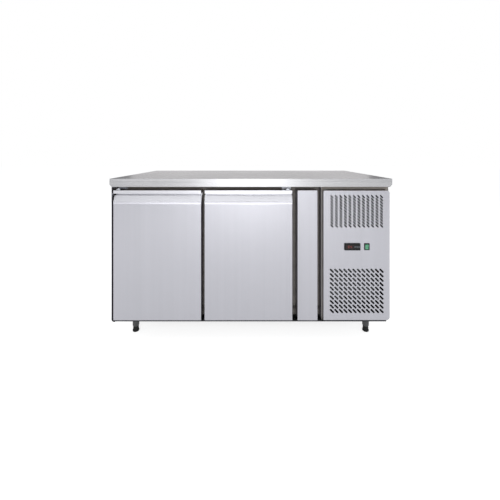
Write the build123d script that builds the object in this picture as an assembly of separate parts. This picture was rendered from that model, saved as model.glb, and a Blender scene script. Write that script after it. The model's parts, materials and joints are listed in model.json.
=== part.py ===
from build123d import *
import math
import os

# Two-door counter refrigerator with a machine bay at its right-hand end.
# Millimetres. X runs along the front, +X to the right; the doors face -Y; Z = 0 is the floor.

# ---- Overall ----
width = 1360.0
depth = 700.0
height = 800.0
leg_height = 106.0

# ---- Sheet and walls ----
casing_sheet = 1.0
liner_sheet = 1.0
frame_sheet = 3.0
panel_sheet = 1.2
wall_back = 52.0
wall_bay = 42.0
bend_radius = 15.0
bend_flange = 1.0
hem_length = 12.0

# ---- Worktop ----
worktop_edge = 40.0
worktop_sheet = 1.5
worktop_side_overhang = 6.0
worktop_front_overhang = 8.0
worktop_rear_overhang = 10.0
worktop_slope_width = 10.0
worktop_slope_height = 12.0

# ---- Front layout ----
door_gap_side = 8.0
door_gap_middle = 15.5
door_gap_filler = 24.0
door_gap_top = 17.5
door_gap_bottom = 9.0
filler_width = 97.5
filler_gap = 28.0
machine_panel_width = 321.0
machine_panel_setback = 2.0

# ---- Doors ----
door_thickness = 55.0
door_sheet = 1.0
door_edge_radius = 3.0
door_liner_flange = 14.0
door_raised_inset = 52.0
door_raised_depth = 8.0
pull_lip_height = 15.5
pull_lip_thickness = 7.0
pull_depth = 34.0
pull_throat = 10.0
pull_ledge_depth = 16.0
pull_slope_drop = 38.0
pull_bend_radius = 30.0
pull_bend_height = 8.0
pocket_height = 9.0
pocket_end_inset = 60.0

# ---- Gaskets ----
gasket_inset = 24.0
gasket_width = 13.0
gasket_thickness = 12.0
gasket_margin = 2.0

# ---- Hinges ----
pin_diameter = 8.0
pin_inset = 22.0
pin_setback = 14.0
pin_running_clearance = 0.05
pin_head_diameter = 12.0
pin_head_height = 3.0
bush_diameter = 14.0
top_bush_length = 13.0
bottom_bush_length = 28.0
bush_washer_clearance = 0.3
torsion_bar_diameter = 4.0
torsion_bar_gap = 1.0
torsion_bar_top_gap = 22.0
bracket_thickness = 4.0
bracket_width = 18.0
bracket_tab_width = 44.0
bracket_tab_height = 11.0
bracket_door_gap = 2.0
bracket_nose = 6.5
pin_end_gap = 1.0

# ---- Screws ----
screw_diameter = 4.0
screw_head_diameter = 8.0
screw_head_height = 2.2
screw_length = 12.0
screw_head_gap = 0.5
screw_edge_gap = 1.0

# ---- Machine bay ----
panel_depth = 20.0
panel_edge_radius = 3.0
bay_post = 14.0
bay_post_wall = 1.5
base_setback = 6.0
base_rail_clearance = 3.0

# ---- Slots in the machine panel ----
slot_columns = 12
slot_column_pitch = 21.8
slot_angle = -45.0
upper_slot_rows = 11
upper_slot_pitch = 14.1
upper_slot_length = 20.0
upper_slot_width = 7.0
upper_slot_top_margin = 30.0
lower_slot_rows = 10
lower_slot_pitch = 21.6
lower_slot_length = 26.0
lower_slot_width = 9.0
lower_slot_bottom_margin = 45.0

# ---- Controller ----
controller_width = 77.0
controller_height = 34.0
controller_bezel = 5.0
controller_body_width = 71.0
controller_body_height = 29.0
controller_body_depth = 58.0
controller_cutout_clearance = 0.5
controller_offset = -21.5
control_above_middle = 8.0
controller_corner_radius = 3.0
controller_front_radius = 1.0
window_width = 37.0
window_height = 19.0
window_depth = 2.0
window_offset = -13.0
key_width = 7.5
key_height = 9.0
key_thickness = 3.0
key_travel = 0.8
key_proud = 0.6
key_clearance = 0.3
key_pitch = 9.5
key_first_offset = 12.5
key_corner_radius = 1.5
key_front_radius = 0.4

# ---- Power switch ----
switch_width = 26.0
switch_height = 33.0
switch_bezel = 2.5
switch_body_width = 21.5
switch_body_height = 28.0
switch_body_depth = 24.0
switch_offset = 49.0
switch_corner_radius = 2.0
switch_front_radius = 0.8
rocker_width = 16.0
rocker_height = 24.0
rocker_depth = 8.0
rocker_clearance = 1.4
rocker_side_clearance = 0.4
rocker_tilt = 7.0
rocker_pivot_depth = 7.0
rocker_dish = 1.5
rocker_back_taper = 2.4
rocker_stub_gap = 1.0

# ---- Feet ----
foot_inset_x = 76.0
foot_inset_y = 110.0
sleeve_top_diameter = 41.0
sleeve_diameter = 33.0
sleeve_bottom_diameter = 31.0
sleeve_flange_height = 8.0
foot_pad_height = 27.0
foot_pad_diameter = 32.0
foot_pad_waist = 28.0
foot_pad_rim_height = 8.0
foot_pad_chamfer = 1.0
foot_stem_diameter = 12.0
foot_stem_length = 58.0
foot_stem_clearance = 0.3

# ---- Shelves ----
shelf_height_above_floor = 265.0
shelf_side_clearance = 2.5
shelf_end_clearance = 20.0
shelf_frame_diameter = 7.0
shelf_wire_diameter = 4.0
shelf_wire_pitch = 26.0
shelf_bearer_count = 3
shelf_wire_sink = 1.0
shelf_rest_gap = 0.3
pilaster_width = 24.0
pilaster_depth = 8.0
pilaster_inset = 34.0
runner_sheet = 1.5
runner_ledge = 15.0

# ---- Evaporator chamber ----
duct_sheet = 1.2
duct_inset = 6.0
duct_fan_diameter = 156.0
duct_fan_from_top = 125.0
duct_slot_rows = 5
duct_slot_length = 70.0
duct_slot_width = 7.0
duct_slot_pitch = 16.0
duct_slot_column_pitch = 88.0
duct_slot_from_floor = 40.0
coil_width = 86.0
coil_end_space = 100.0
coil_fan_gap = 20.0
coil_fin_pitch = 15.0
coil_fin_thickness = 1.0
coil_tube_diameter = 9.5
coil_tube_pitch = 28.0
coil_tube_end = 8.0
coil_above_floor = 72.0
tray_margin = 10.0
tray_depth = 22.0
tray_sheet = 1.5
tray_above_floor = 34.0

# ---- Fans ----
fan_shaft_diameter = 6.0
fan_hub_diameter = 34.0
fan_hub_length = 20.0
fan_hub_edge_radius = 3.0
fan_blade_count = 5
fan_blade_width = 40.0
fan_blade_thickness = 1.6
fan_blade_pitch = 28.0
fan_blade_root = 4.5
evaporator_fan_diameter = 146.0
evaporator_motor_diameter = 60.0
evaporator_motor_length = 46.0
condenser_fan_diameter = 196.0
condenser_motor_diameter = 84.0
condenser_motor_length = 62.0
fan_motor_gap = 4.0
fan_motor_edge_radius = 6.0
fan_bore_end_gap = 1.0
fan_arm_width = 12.0
fan_arm_thickness = 3.0
fan_arm_count = 3
fan_arm_margin = 8.0
fan_arm_root = 2.0
fan_shaft_engagement = 30.0
evaporator_fan_standoff = 4.0

# ---- Condensing unit ----
condenser_width = 250.0
condenser_depth = 56.0
condenser_height = 230.0
condenser_fin_pitch = 9.0
condenser_fin_thickness = 1.0
condenser_tube_diameter = 9.5
condenser_tube_pitch = 36.0
condenser_tube_end = 7.0
condenser_from_front = 42.0
condenser_above_base = 4.0
shroud_sheet = 1.2
shroud_depth = 34.0
shroud_hole_diameter = 206.0
compressor_diameter = 158.0
compressor_height = 176.0
compressor_dome = 42.0
compressor_from_back = 128.0
compressor_from_right = 108.0
compressor_plate_length = 196.0
compressor_plate_width = 150.0
compressor_plate_thickness = 3.0
mount_diameter = 28.0
mount_height = 18.0
mount_inset = 16.0
mount_chamfer = 2.0
terminal_box_width = 62.0
terminal_box_height = 58.0
terminal_box_depth = 40.0
terminal_box_radius = 5.0
line_diameter = 8.0
line_bend_radius = 12.0
line_standoff = 14.0
line_lead = 28.0
line_spacing = 26.0
line_rise = 36.0
line_clear_of_motor = 34.0
line_drier_height = 94.0
line_over_compressor = 42.0
line_port_offset = 20.0
line_from_wall = 26.0
drier_diameter = 22.0
drier_length = 110.0
drier_end_radius = 7.0
evaporation_pan_length = 190.0
evaporation_pan_width = 120.0
evaporation_pan_depth = 32.0
evaporation_pan_sheet = 1.5
evaporation_pan_gap = 8.0
drain_diameter = 18.0
drain_wall = 1.5
drain_bend_radius = 13.0
drain_drop = 18.0
drain_tip_gap = 8.0
drain_clearance = 0.5
drain_from_back = 120.0
electrical_box_width = 50.0
electrical_box_length = 150.0
electrical_box_height = 130.0
electrical_box_wall = 2.5
electrical_box_from_back = 60.0
electrical_box_from_top = 96.0

# ---- Rear grille ----
louvre_from_bottom = 150.0
louvre_length = 116.0
louvre_width = 6.0
louvre_pitch = 18.0
louvre_column_pitch = 140.0
louvre_from_top = 110.0
gland_bore_diameter = 9.0
gland_nut_diameter = 22.0
gland_nut_height = 9.0
gland_thread_diameter = 16.0
gland_thread_length = 12.0
gland_clearance = 0.2
gland_from_left = 44.0
gland_above_base = 60.0
screw_margin = 12.0

# ---- Places that follow from the sizes above ----
worktop_bottom = height - worktop_edge
cabinet_left = -width / 2 + worktop_side_overhang
cabinet_right = width / 2 - worktop_side_overhang
face_y = -depth / 2 + worktop_front_overhang
cabinet_back = depth / 2 - worktop_rear_overhang
base_z = leg_height + casing_sheet

machine_panel_right = cabinet_right - machine_panel_setback
machine_panel_left = machine_panel_right - machine_panel_width
filler_right = machine_panel_left - filler_gap
filler_left = filler_right - filler_width
right_door_right = filler_left - door_gap_filler
left_door_left = cabinet_left + door_gap_side
door_width = (right_door_right - left_door_left - door_gap_middle) / 2
left_door_right = left_door_left + door_width
right_door_left = right_door_right - door_width
door_bottom = leg_height + door_gap_bottom
door_top = worktop_bottom - door_gap_top

frame_y = face_y + door_thickness + gasket_thickness
liner_front = frame_y + frame_sheet
opening_inset = gasket_inset + gasket_width + gasket_margin
left_opening = (left_door_left + opening_inset, left_door_right - opening_inset)
right_opening = (right_door_left + opening_inset, right_door_right - opening_inset)
opening_bottom = door_bottom + opening_inset
opening_top = door_top - opening_inset

bay_left = machine_panel_left - screw_margin / 2
bay_inner_left = bay_left + casing_sheet
bay_inner_right = cabinet_right - casing_sheet
bay_front = face_y + panel_depth
liner_left = left_opening[0]
liner_right = bay_left - wall_bay
liner_back = cabinet_back - wall_back
duct_left = right_opening[1] + duct_inset
duct_right = duct_left + duct_sheet

left_pin_x = left_door_left + pin_inset
right_pin_x = right_door_right - pin_inset
pin_y = face_y + pin_setback
base_seam_x = abs(cabinet_left) - bend_radius - bend_flange

pull_throat_top = door_top - pull_lip_height
pull_throat_bottom = pull_throat_top - pull_throat
pull_slope_bottom = pull_throat_bottom - pull_slope_drop

upper_field_height = (upper_slot_rows - 1) * upper_slot_pitch
lower_field_height = (lower_slot_rows - 1) * lower_slot_pitch
upper_field_z = door_top - upper_slot_top_margin - upper_field_height / 2
lower_field_z = door_bottom + lower_slot_bottom_margin + lower_field_height / 2
upper_field_bottom = upper_field_z - upper_field_height / 2
lower_field_top = lower_field_z + lower_field_height / 2
control_z = (upper_field_bottom + lower_field_top) / 2 + control_above_middle
panel_centre_x = (machine_panel_left + machine_panel_right) / 2
controller_x = panel_centre_x + controller_offset
switch_x = panel_centre_x + switch_offset
rocker_pivot_y = face_y - switch_bezel + rocker_pivot_depth

foot_x = cabinet_right - foot_inset_x
foot_front_y = face_y + foot_inset_y
foot_rear_y = cabinet_back - foot_inset_y
foot_places = {
    "front_left": (-foot_x, foot_front_y),
    "front_right": (foot_x, foot_front_y),
    "rear_left": (-foot_x, foot_rear_y),
    "rear_right": (foot_x, foot_rear_y),
}

shelf_top_z = opening_bottom + shelf_height_above_floor
shelf_stack = shelf_wire_diameter - shelf_wire_sink + shelf_frame_diameter
shelf_runner_z = shelf_top_z - shelf_stack - shelf_rest_gap
pilaster_front_y = liner_front + pilaster_inset
pilaster_rear_y = liner_back - pilaster_inset

chamber_centre_x = (duct_right + liner_right) / 2
interior_centre_y = (liner_front + liner_back) / 2
coil_bottom = opening_bottom + coil_above_floor
tray_bottom = opening_bottom + tray_above_floor
evaporator_fan_z = opening_top - duct_fan_from_top
evaporator_fan_x = duct_right + evaporator_fan_standoff + fan_hub_length / 2
fan_bracket_reach = duct_fan_diameter / 2 + fan_arm_margin
coil_top = evaporator_fan_z - fan_bracket_reach - coil_fan_gap
coil_height = coil_top - coil_bottom
coil_length = liner_back - liner_front - 2 * coil_end_space
coil_rows = 2 * int(coil_height / (2 * coil_tube_pitch))
coil_first_z = coil_bottom + (coil_height - (coil_rows - 1) * coil_tube_pitch) / 2
coil_back_end = interior_centre_y + coil_length / 2 + coil_tube_end
coil_near_x = chamber_centre_x - coil_tube_pitch / 2
coil_far_x = chamber_centre_x + coil_tube_pitch / 2
liquid_y = coil_back_end + line_lead
suction_y = liquid_y + line_spacing
suction_z = coil_first_z + line_rise

condenser_x = (bay_inner_left + bay_inner_right) / 2
condenser_front = bay_front + condenser_from_front
condenser_back = condenser_front + condenser_depth
condenser_bottom = base_z + condenser_above_base
condenser_z = condenser_bottom + condenser_height / 2
condenser_rows = 2 * int(condenser_height / (2 * condenser_tube_pitch))
condenser_first_z = condenser_z - (condenser_rows - 1) * condenser_tube_pitch / 2
condenser_last_z = condenser_z + (condenser_rows - 1) * condenser_tube_pitch / 2
condenser_end_x = condenser_x + condenser_width / 2 + condenser_tube_end
condenser_tube_y = (condenser_front + condenser_back) / 2
line_right_x = condenser_end_x + line_standoff
shroud_back = condenser_back + shroud_depth
condenser_motor_back = shroud_back + fan_hub_length / 2 + fan_motor_gap + condenser_motor_length
compressor_x = bay_inner_right - compressor_from_right
compressor_y = cabinet_back - compressor_from_back
compressor_plate_z = base_z + mount_height
drain_y = liner_back - drain_from_back
pan_left = bay_inner_left + evaporation_pan_gap
drain_z = tray_bottom - drain_drop
drain_tip_x = pan_left + evaporation_pan_width / 2
compressor_top_z = compressor_plate_z + compressor_height
gland_x = bay_inner_left + gland_from_left
gland_z = base_z + gland_above_base


def block(x_range, y_range, z_range):
    """A rectangular block between two opposite corners."""
    size = Box(x_range[1] - x_range[0], y_range[1] - y_range[0], z_range[1] - z_range[0])
    centre = (sum(x_range) / 2, sum(y_range) / 2, sum(z_range) / 2)
    return Pos(*centre) * size


def upright(x, y, z_bottom, length, diameter):
    """A round bar standing on its lower end."""
    return Pos(x, y, z_bottom + length / 2) * Cylinder(diameter / 2, length)


def bar_along_x(x_start, length, y, z, diameter):
    """A round bar lying along X, from x_start."""
    return Pos(x_start + length / 2, y, z) * Rot(0, 90, 0) * Cylinder(diameter / 2, length)


def bar_along_y(y_start, length, x, z, diameter):
    """A round bar lying along Y, from y_start."""
    return Pos(x, y_start + length / 2, z) * Rot(90, 0, 0) * Cylinder(diameter / 2, length)


def prism_along_x(points, x_start, x_end):
    """A solid whose outline is given as (y, z) points, run along X."""
    outline = make_face(Polyline(*[(x_start, y, z) for y, z in points], close=True))
    return extrude(outline, amount=x_end - x_start, dir=(1, 0, 0))


def prism_along_y(points, y_start, y_end):
    """A solid whose outline is given as (x, z) points, run along Y."""
    outline = make_face(Polyline(*[(x, y_start, z) for x, z in points], close=True))
    return extrude(outline, amount=y_end - y_start, dir=(0, 1, 0))


def save(shape, name):
    """Write one sub-part as parts/NAME.step."""
    export_step(shape, "parts/" + name + ".step")


# ---- Worktop ----

def worktop_outline(inset):
    """The front view of the worktop, moved inwards by the sheet thickness when inset is set."""
    slope_length = math.hypot(worktop_slope_width, worktop_slope_height)
    slope_shift = inset * slope_length / worktop_slope_height
    half = width / 2 - inset
    foot_half = width / 2 - worktop_slope_width - slope_shift
    knee = worktop_bottom + (half - foot_half) * worktop_slope_height / worktop_slope_width
    top = height - inset
    return [(-half, top), (half, top), (half, knee), (foot_half, worktop_bottom),
            (-foot_half, worktop_bottom), (-half, knee)]


def make_worktop_core():
    """The board that fills the folded worktop and rests on the cabinet."""
    front = -depth / 2 + worktop_sheet
    back = depth / 2 - worktop_sheet
    return prism_along_y(worktop_outline(worktop_sheet), front, back)


def make_worktop_shell(core):
    """The folded steel top with its turned-down edges."""
    return prism_along_y(worktop_outline(0), -depth / 2, depth / 2) - core


# ---- Outer casing ----

def make_side_panel(side, front_y, hemmed):
    """A side sheet whose lower edge bends under the cabinet. side is -1 for left, 1 for right."""
    outer = abs(cabinet_left)
    inner = outer - casing_sheet
    height_span = (leg_height, worktop_bottom)
    full = block((-outer, outer), (front_y, cabinet_back), height_span)
    hollow = block((-inner, inner), (front_y, cabinet_back), (base_z, worktop_bottom))
    lower_edges = full.edges().filter_by(Axis.Y).group_by(Axis.Z)[0]
    full = fillet(lower_edges, bend_radius)
    inner_edges = hollow.edges().filter_by(Axis.Y).group_by(Axis.Z)[0]
    hollow = fillet(inner_edges, bend_radius - casing_sheet)
    wrap = full - hollow
    strip = (base_seam_x, outer)
    if side < 0:
        strip = (-strip[1], -strip[0])
    panel = wrap & block(strip, (front_y, cabinet_back), height_span)
    if hemmed:
        hem_x = (-inner, -inner + casing_sheet)
        if side > 0:
            hem_x = (inner - casing_sheet, inner)
        hem_z = (leg_height + bend_radius, worktop_bottom)
        panel = panel + block(hem_x, (front_y, front_y + hem_length), hem_z)
    return panel


def make_base_pan():
    """The floor sheet of the cabinet, and the low rail welded along its front under the doors."""
    x_range = (-base_seam_x, base_seam_x)
    front = face_y + base_setback
    sheet = block(x_range, (front, cabinet_back), (leg_height, base_z))
    rail_top = door_bottom - base_rail_clearance
    rail = block(x_range, (front, front + casing_sheet), (base_z, rail_top))
    return Compound(children=[sheet, rail])


def clear_of_bend(shape, corner):
    """Cut a lower corner to clear the casing's bend. corner is 0 for left, -1 for right."""
    low_edges = shape.edges().filter_by(Axis.Y).group_by(Axis.Z)[0].sort_by(Axis.X)
    return chamfer(low_edges[corner], bend_radius)


def make_back_panel():
    """The rear sheet behind the insulated cabinet."""
    x_range = (cabinet_left + casing_sheet, bay_left)
    y_range = (cabinet_back - casing_sheet, cabinet_back)
    return clear_of_bend(block(x_range, y_range, (base_z, worktop_bottom)), 0)


def wall_holes(x_range):
    """The holes for the drain and the refrigerant lines, across the wall beside the bay."""
    length = x_range[1] - x_range[0]
    drain = bar_along_x(x_range[0], length, drain_y, drain_z, drain_diameter + 2 * drain_clearance)
    holes = [drain]
    hole_diameter = line_diameter + 2 * drain_clearance
    for y, z in ((liquid_y, coil_first_z), (suction_y, suction_z)):
        holes.append(bar_along_x(x_range[0], length, y, z, hole_diameter))
    return holes


def make_bay_wall():
    """The sheet between the insulated wall and the machine bay."""
    x_range = (bay_left, bay_inner_left)
    sheet = block(x_range, (bay_front, cabinet_back - casing_sheet), (base_z, worktop_bottom))
    return sheet - wall_holes(x_range)


def make_insulation():
    """The foam between casing and liner, and the foam block behind the filler panel."""
    outer_x = (cabinet_left + casing_sheet, bay_left)
    outer_y = (liner_front, cabinet_back - casing_sheet)
    outer = clear_of_bend(block(outer_x, outer_y, (base_z, worktop_bottom)), 0)
    inner_x = (liner_left - liner_sheet, liner_right + liner_sheet)
    inner_y = (liner_front, liner_back + liner_sheet)
    inner_z = (opening_bottom - liner_sheet, opening_top + liner_sheet)
    foam = outer - block(inner_x, inner_y, inner_z)
    foam = foam - wall_holes((liner_right, bay_left))
    filler_x = (filler_left + panel_sheet, filler_right - panel_sheet)
    filler_z = (door_bottom + panel_sheet, door_top - panel_sheet)
    filler_foam = block(filler_x, (face_y + panel_sheet, frame_y), filler_z)
    return Compound(children=[foam, filler_foam])


def make_liner():
    """The five flat sheets of the food compartment, butted at their edges."""
    wide_x = (liner_left - liner_sheet, liner_right + liner_sheet)
    inner_x = (liner_left, liner_right)
    y_range = (liner_front, liner_back + liner_sheet)
    z_range = (opening_bottom, opening_top)
    floor = block(wide_x, y_range, (opening_bottom - liner_sheet, opening_bottom))
    ceiling = block(wide_x, y_range, (opening_top, opening_top + liner_sheet))
    left = block((wide_x[0], inner_x[0]), y_range, z_range)
    right_x = (inner_x[1], wide_x[1])
    right = block(right_x, y_range, z_range) - wall_holes(right_x)
    back = block(inner_x, (liner_back, liner_back + liner_sheet), z_range)
    return Compound(children=[floor, ceiling, left, right, back])


def make_front_frame():
    """The members round the two door openings, with the post between them."""
    y_range = (frame_y, liner_front)
    outer_x = (cabinet_left + casing_sheet, bay_left)
    z_range = (opening_bottom, opening_top)
    top = block(outer_x, y_range, (opening_top, worktop_bottom))
    for pin_x in (left_pin_x, right_pin_x):
        for offset in bracket_screw_offsets():
            top = top - bar_along_y(frame_y, frame_sheet, pin_x + offset,
                                    bracket_tab_centre_z(), screw_diameter)
    bottom = clear_of_bend(block(outer_x, y_range, (base_z, opening_bottom)), 0)
    left = block((outer_x[0], left_opening[0]), y_range, z_range)
    middle = block((left_opening[1], right_opening[0]), y_range, z_range)
    right = block((right_opening[1], outer_x[1]), y_range, z_range)
    post_y = (liner_front, liner_front + pilaster_inset - pilaster_width / 2)
    post = block((left_opening[1], right_opening[0]), post_y, z_range)
    return Compound(children=[top, bottom, left, middle, right, post])


def make_filler_panel():
    """The fixed pillar cover between the right door and the machine bay."""
    z_range = (door_bottom, door_top)
    outer = block((filler_left, filler_right), (face_y, frame_y), z_range)
    front_edges = outer.edges().filter_by(Axis.Z).group_by(Axis.Y)[0]
    outer = fillet(front_edges, door_edge_radius)
    inner_x = (filler_left + panel_sheet, filler_right - panel_sheet)
    inner_z = (door_bottom + panel_sheet, door_top - panel_sheet)
    return outer - block(inner_x, (face_y + panel_sheet, frame_y), inner_z)


# ---- Machine bay casing ----

def make_bay_frame():
    """The two tubular posts and the top rail that the machine panel and the worktop sit on."""
    y_range = (bay_front, bay_front + bay_post)
    post_top = worktop_bottom - bay_post
    posts = []
    for post_x in (bay_inner_left, bay_inner_right - bay_post):
        inner_x = (post_x + bay_post_wall, post_x + bay_post - bay_post_wall)
        inner_y = (y_range[0] + bay_post_wall, y_range[1] - bay_post_wall)
        post_bottom = base_z
        if post_x > bay_inner_left:
            post_bottom = base_z + bend_radius
        outer = block((post_x, post_x + bay_post), y_range, (post_bottom, post_top))
        posts.append(outer - block(inner_x, inner_y, (post_bottom, post_top)))
    rail_x = (bay_inner_left, bay_inner_right)
    rail = block(rail_x, y_range, (post_top, worktop_bottom))
    inner_y = (y_range[0] + bay_post_wall, y_range[1] - bay_post_wall)
    inner_z = (post_top + bay_post_wall, worktop_bottom - bay_post_wall)
    rail = rail - block(rail_x, inner_y, inner_z)
    return Compound(children=posts + [rail])


def slot_field(centre_z, rows, row_pitch, length, slot_width):
    """A field of slanted slots, cut through the face of the machine panel."""
    slot = Rot(0, 0, slot_angle) * SlotOverall(length, slot_width)
    plane = Plane(origin=(panel_centre_x, face_y, centre_z), x_dir=(1, 0, 0), z_dir=(0, -1, 0))
    places = GridLocations(slot_column_pitch, row_pitch, slot_columns, rows)
    slots = []
    for place in places:
        slots.append(extrude(plane * place * slot, amount=panel_sheet, both=True))
    return slots


def panel_shape(inset, front, back):
    """The panel's outline as a block: large corners on the right, small ones on the left."""
    x_range = (machine_panel_left + inset, machine_panel_right - inset)
    shape = block(x_range, (front, back), (door_bottom + inset, door_top - inset))
    long_edges = shape.edges().filter_by(Axis.Y).sort_by(Axis.X)
    shape = fillet(long_edges[2:], bend_radius - inset)
    long_edges = shape.edges().filter_by(Axis.Y).sort_by(Axis.X)
    shape = fillet(long_edges[:2], panel_edge_radius - inset)
    front_edges = shape.faces().sort_by(Axis.Y)[0].edges()
    return fillet(front_edges, panel_edge_radius - inset - casing_sheet / 2)


def make_machine_panel():
    """The pressed front of the machine bay, slotted, with the two control cut-outs."""
    shell = panel_shape(0, face_y, bay_front)
    shell = shell - panel_shape(panel_sheet, face_y + panel_sheet, bay_front)
    cuts = slot_field(upper_field_z, upper_slot_rows, upper_slot_pitch,
                      upper_slot_length, upper_slot_width)
    cuts += slot_field(lower_field_z, lower_slot_rows, lower_slot_pitch,
                       lower_slot_length, lower_slot_width)
    through_y = (face_y - panel_sheet, face_y + 2 * panel_sheet)
    gap = 2 * controller_cutout_clearance
    controller_hole = cut_out(controller_x, controller_body_width + gap,
                              controller_body_height + gap, through_y)
    switch_hole = cut_out(switch_x, switch_body_width + gap, switch_body_height + gap, through_y)
    return shell - (cuts + [controller_hole, switch_hole])


def cut_out(x, hole_width, hole_height, y_range):
    """A rectangular block at the height of the controls."""
    x_range = (x - hole_width / 2, x + hole_width / 2)
    return block(x_range, y_range, (control_z - hole_height / 2, control_z + hole_height / 2))


def make_rear_grille():
    """The louvred rear cover of the machine bay, with the hole for the cable gland."""
    y_range = (cabinet_back - casing_sheet, cabinet_back)
    x_range = (bay_left, bay_inner_right)
    cover = clear_of_bend(block(x_range, y_range, (base_z, worktop_bottom)), -1)
    first_z = worktop_bottom - louvre_from_top
    louvre_span = first_z - base_z - louvre_from_bottom
    louvre_rows = int(louvre_span // louvre_pitch) + 1
    centre_x = (bay_inner_left + bay_inner_right) / 2
    cuts = []
    for row in range(louvre_rows):
        slot_z = first_z - row * louvre_pitch
        for side in (-1, 1):
            slot_x = centre_x + side * louvre_column_pitch / 2
            slot_range = (slot_x - louvre_length / 2, slot_x + louvre_length / 2)
            z_range = (slot_z - louvre_width / 2, slot_z + louvre_width / 2)
            cuts.append(block(slot_range, y_range, z_range))
    gland_hole = gland_thread_diameter + 2 * gland_clearance
    cuts.append(bar_along_y(y_range[0], casing_sheet, gland_x, gland_z, gland_hole))
    for x, z in grille_screw_places():
        cuts.append(bar_along_y(y_range[0], casing_sheet, x, z, screw_diameter))
    return cover - cuts


def grille_screw_places():
    """The four corner screws of the rear grille."""
    left = bay_left + screw_margin
    right = bay_inner_right - screw_margin
    low = base_z + screw_margin
    high = worktop_bottom - screw_margin
    return [(left, low), (right, low), (left, high), (right, high)]


def make_cable_gland():
    """The gland in the rear grille: outer nut and inner thread with a clear bore."""
    nut_circle = RegularPolygon(gland_nut_diameter / 2, 6)
    plane = Plane(origin=(gland_x, cabinet_back, gland_z), x_dir=(-1, 0, 0), z_dir=(0, 1, 0))
    nut = extrude(plane * nut_circle, amount=gland_nut_height)
    thread_start = cabinet_back - gland_thread_length
    thread = bar_along_y(thread_start, gland_thread_length, gland_x, gland_z,
                         gland_thread_diameter)
    full_length = gland_thread_length + gland_nut_height
    bore = bar_along_y(thread_start, full_length, gland_x, gland_z, gland_bore_diameter)
    return nut + thread - bore


def grille_screw(x, z):
    """A pan-head screw driven forwards through the rear grille."""
    head = bar_along_y(cabinet_back, screw_head_height, x, z, screw_head_diameter)
    shank = bar_along_y(cabinet_back - screw_length, screw_length, x, z, screw_diameter)
    return head + shank


def bracket_screw(x):
    """A pan-head screw through the tab of an upper hinge bracket into the front frame."""
    z = bracket_tab_centre_z()
    head_start = frame_y - bracket_thickness - screw_head_height
    head = bar_along_y(head_start, screw_head_height, x, z, screw_head_diameter)
    shank_length = bracket_thickness + frame_sheet
    shank = bar_along_y(frame_y - bracket_thickness, shank_length, x, z, screw_diameter)
    return head + shank


def bracket_tab_centre_z():
    """Height of the screws in the upper bracket's tab."""
    arm_top = door_top + bracket_door_gap + bracket_thickness
    return arm_top + screw_head_gap + screw_head_diameter / 2


def bracket_screw_offsets():
    """The two screws of a tab, either side of the pin."""
    reach = bracket_tab_width / 2 - screw_head_diameter / 2 - screw_edge_gap
    return (-reach, reach)


def make_panel_screws():
    """All the like pan-head screws, as separate solids."""
    screws = [grille_screw(x, z) for x, z in grille_screw_places()]
    for pin_x in (left_pin_x, right_pin_x):
        for offset in bracket_screw_offsets():
            screws.append(bracket_screw(pin_x + offset))
    return Compound(children=screws)


# ---- Controls ----

def key_places():
    """Centres of the controller's keys along X."""
    first = controller_x + key_first_offset
    return {"set": first, "up": first + key_pitch, "defrost": first + 2 * key_pitch}


def make_controller_case():
    """The black housing of the digital controller, with wells for its window and keys."""
    bezel_y = (face_y - controller_bezel, face_y)
    bezel = cut_out(controller_x, controller_width, controller_height, bezel_y)
    bezel = fillet(bezel.edges().filter_by(Axis.Y), controller_corner_radius)
    bezel = fillet(bezel.faces().sort_by(Axis.Y)[0].edges(), controller_front_radius)
    body_y = (face_y, face_y + controller_body_depth)
    body = cut_out(controller_x, controller_body_width, controller_body_height, body_y)
    well_y = (bezel_y[0], bezel_y[0] + window_depth)
    window_x = controller_x + window_offset
    wells = [cut_out(window_x, window_width, window_height, well_y)]
    well_depth = key_thickness - key_proud + key_travel + key_clearance
    key_y = (bezel_y[0], bezel_y[0] + well_depth)
    gap = 2 * key_clearance
    for x in key_places().values():
        wells.append(cut_out(x, key_width + gap, key_height + gap, key_y))
    return bezel + body - wells


def make_controller_window():
    """The dark display window, set in its well."""
    front = face_y - controller_bezel
    window_x = controller_x + window_offset
    return cut_out(window_x, window_width, window_height, (front, front + window_depth))


def make_controller_key(x):
    """One push key of the controller."""
    front = face_y - controller_bezel - key_proud
    key = cut_out(x, key_width, key_height, (front, front + key_thickness))
    key = fillet(key.edges().filter_by(Axis.Y), key_corner_radius)
    return fillet(key.faces().sort_by(Axis.Y)[0].edges(), key_front_radius)


def make_switch_housing():
    """The bezel and body of the power switch, with the well that the rocker tilts in."""
    bezel = cut_out(switch_x, switch_width, switch_height, (face_y - switch_bezel, face_y))
    bezel = fillet(bezel.edges().filter_by(Axis.Y), switch_corner_radius)
    bezel = fillet(bezel.faces().sort_by(Axis.Y)[0].edges(), switch_front_radius)
    body_y = (face_y, face_y + switch_body_depth)
    body = cut_out(switch_x, switch_body_width, switch_body_height, body_y)
    well_depth = rocker_pivot_depth + rocker_depth
    well_y = (face_y - switch_bezel, face_y - switch_bezel + well_depth)
    well = cut_out(switch_x, rocker_width + 2 * rocker_side_clearance,
                   rocker_height + 2 * rocker_clearance, well_y)
    pivot = bar_along_x(switch_x - switch_body_width / 2, switch_body_width,
                        rocker_pivot_y, control_z, 2 * rocker_dish + 2 * pin_running_clearance)
    return bezel + body - well - pivot


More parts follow.
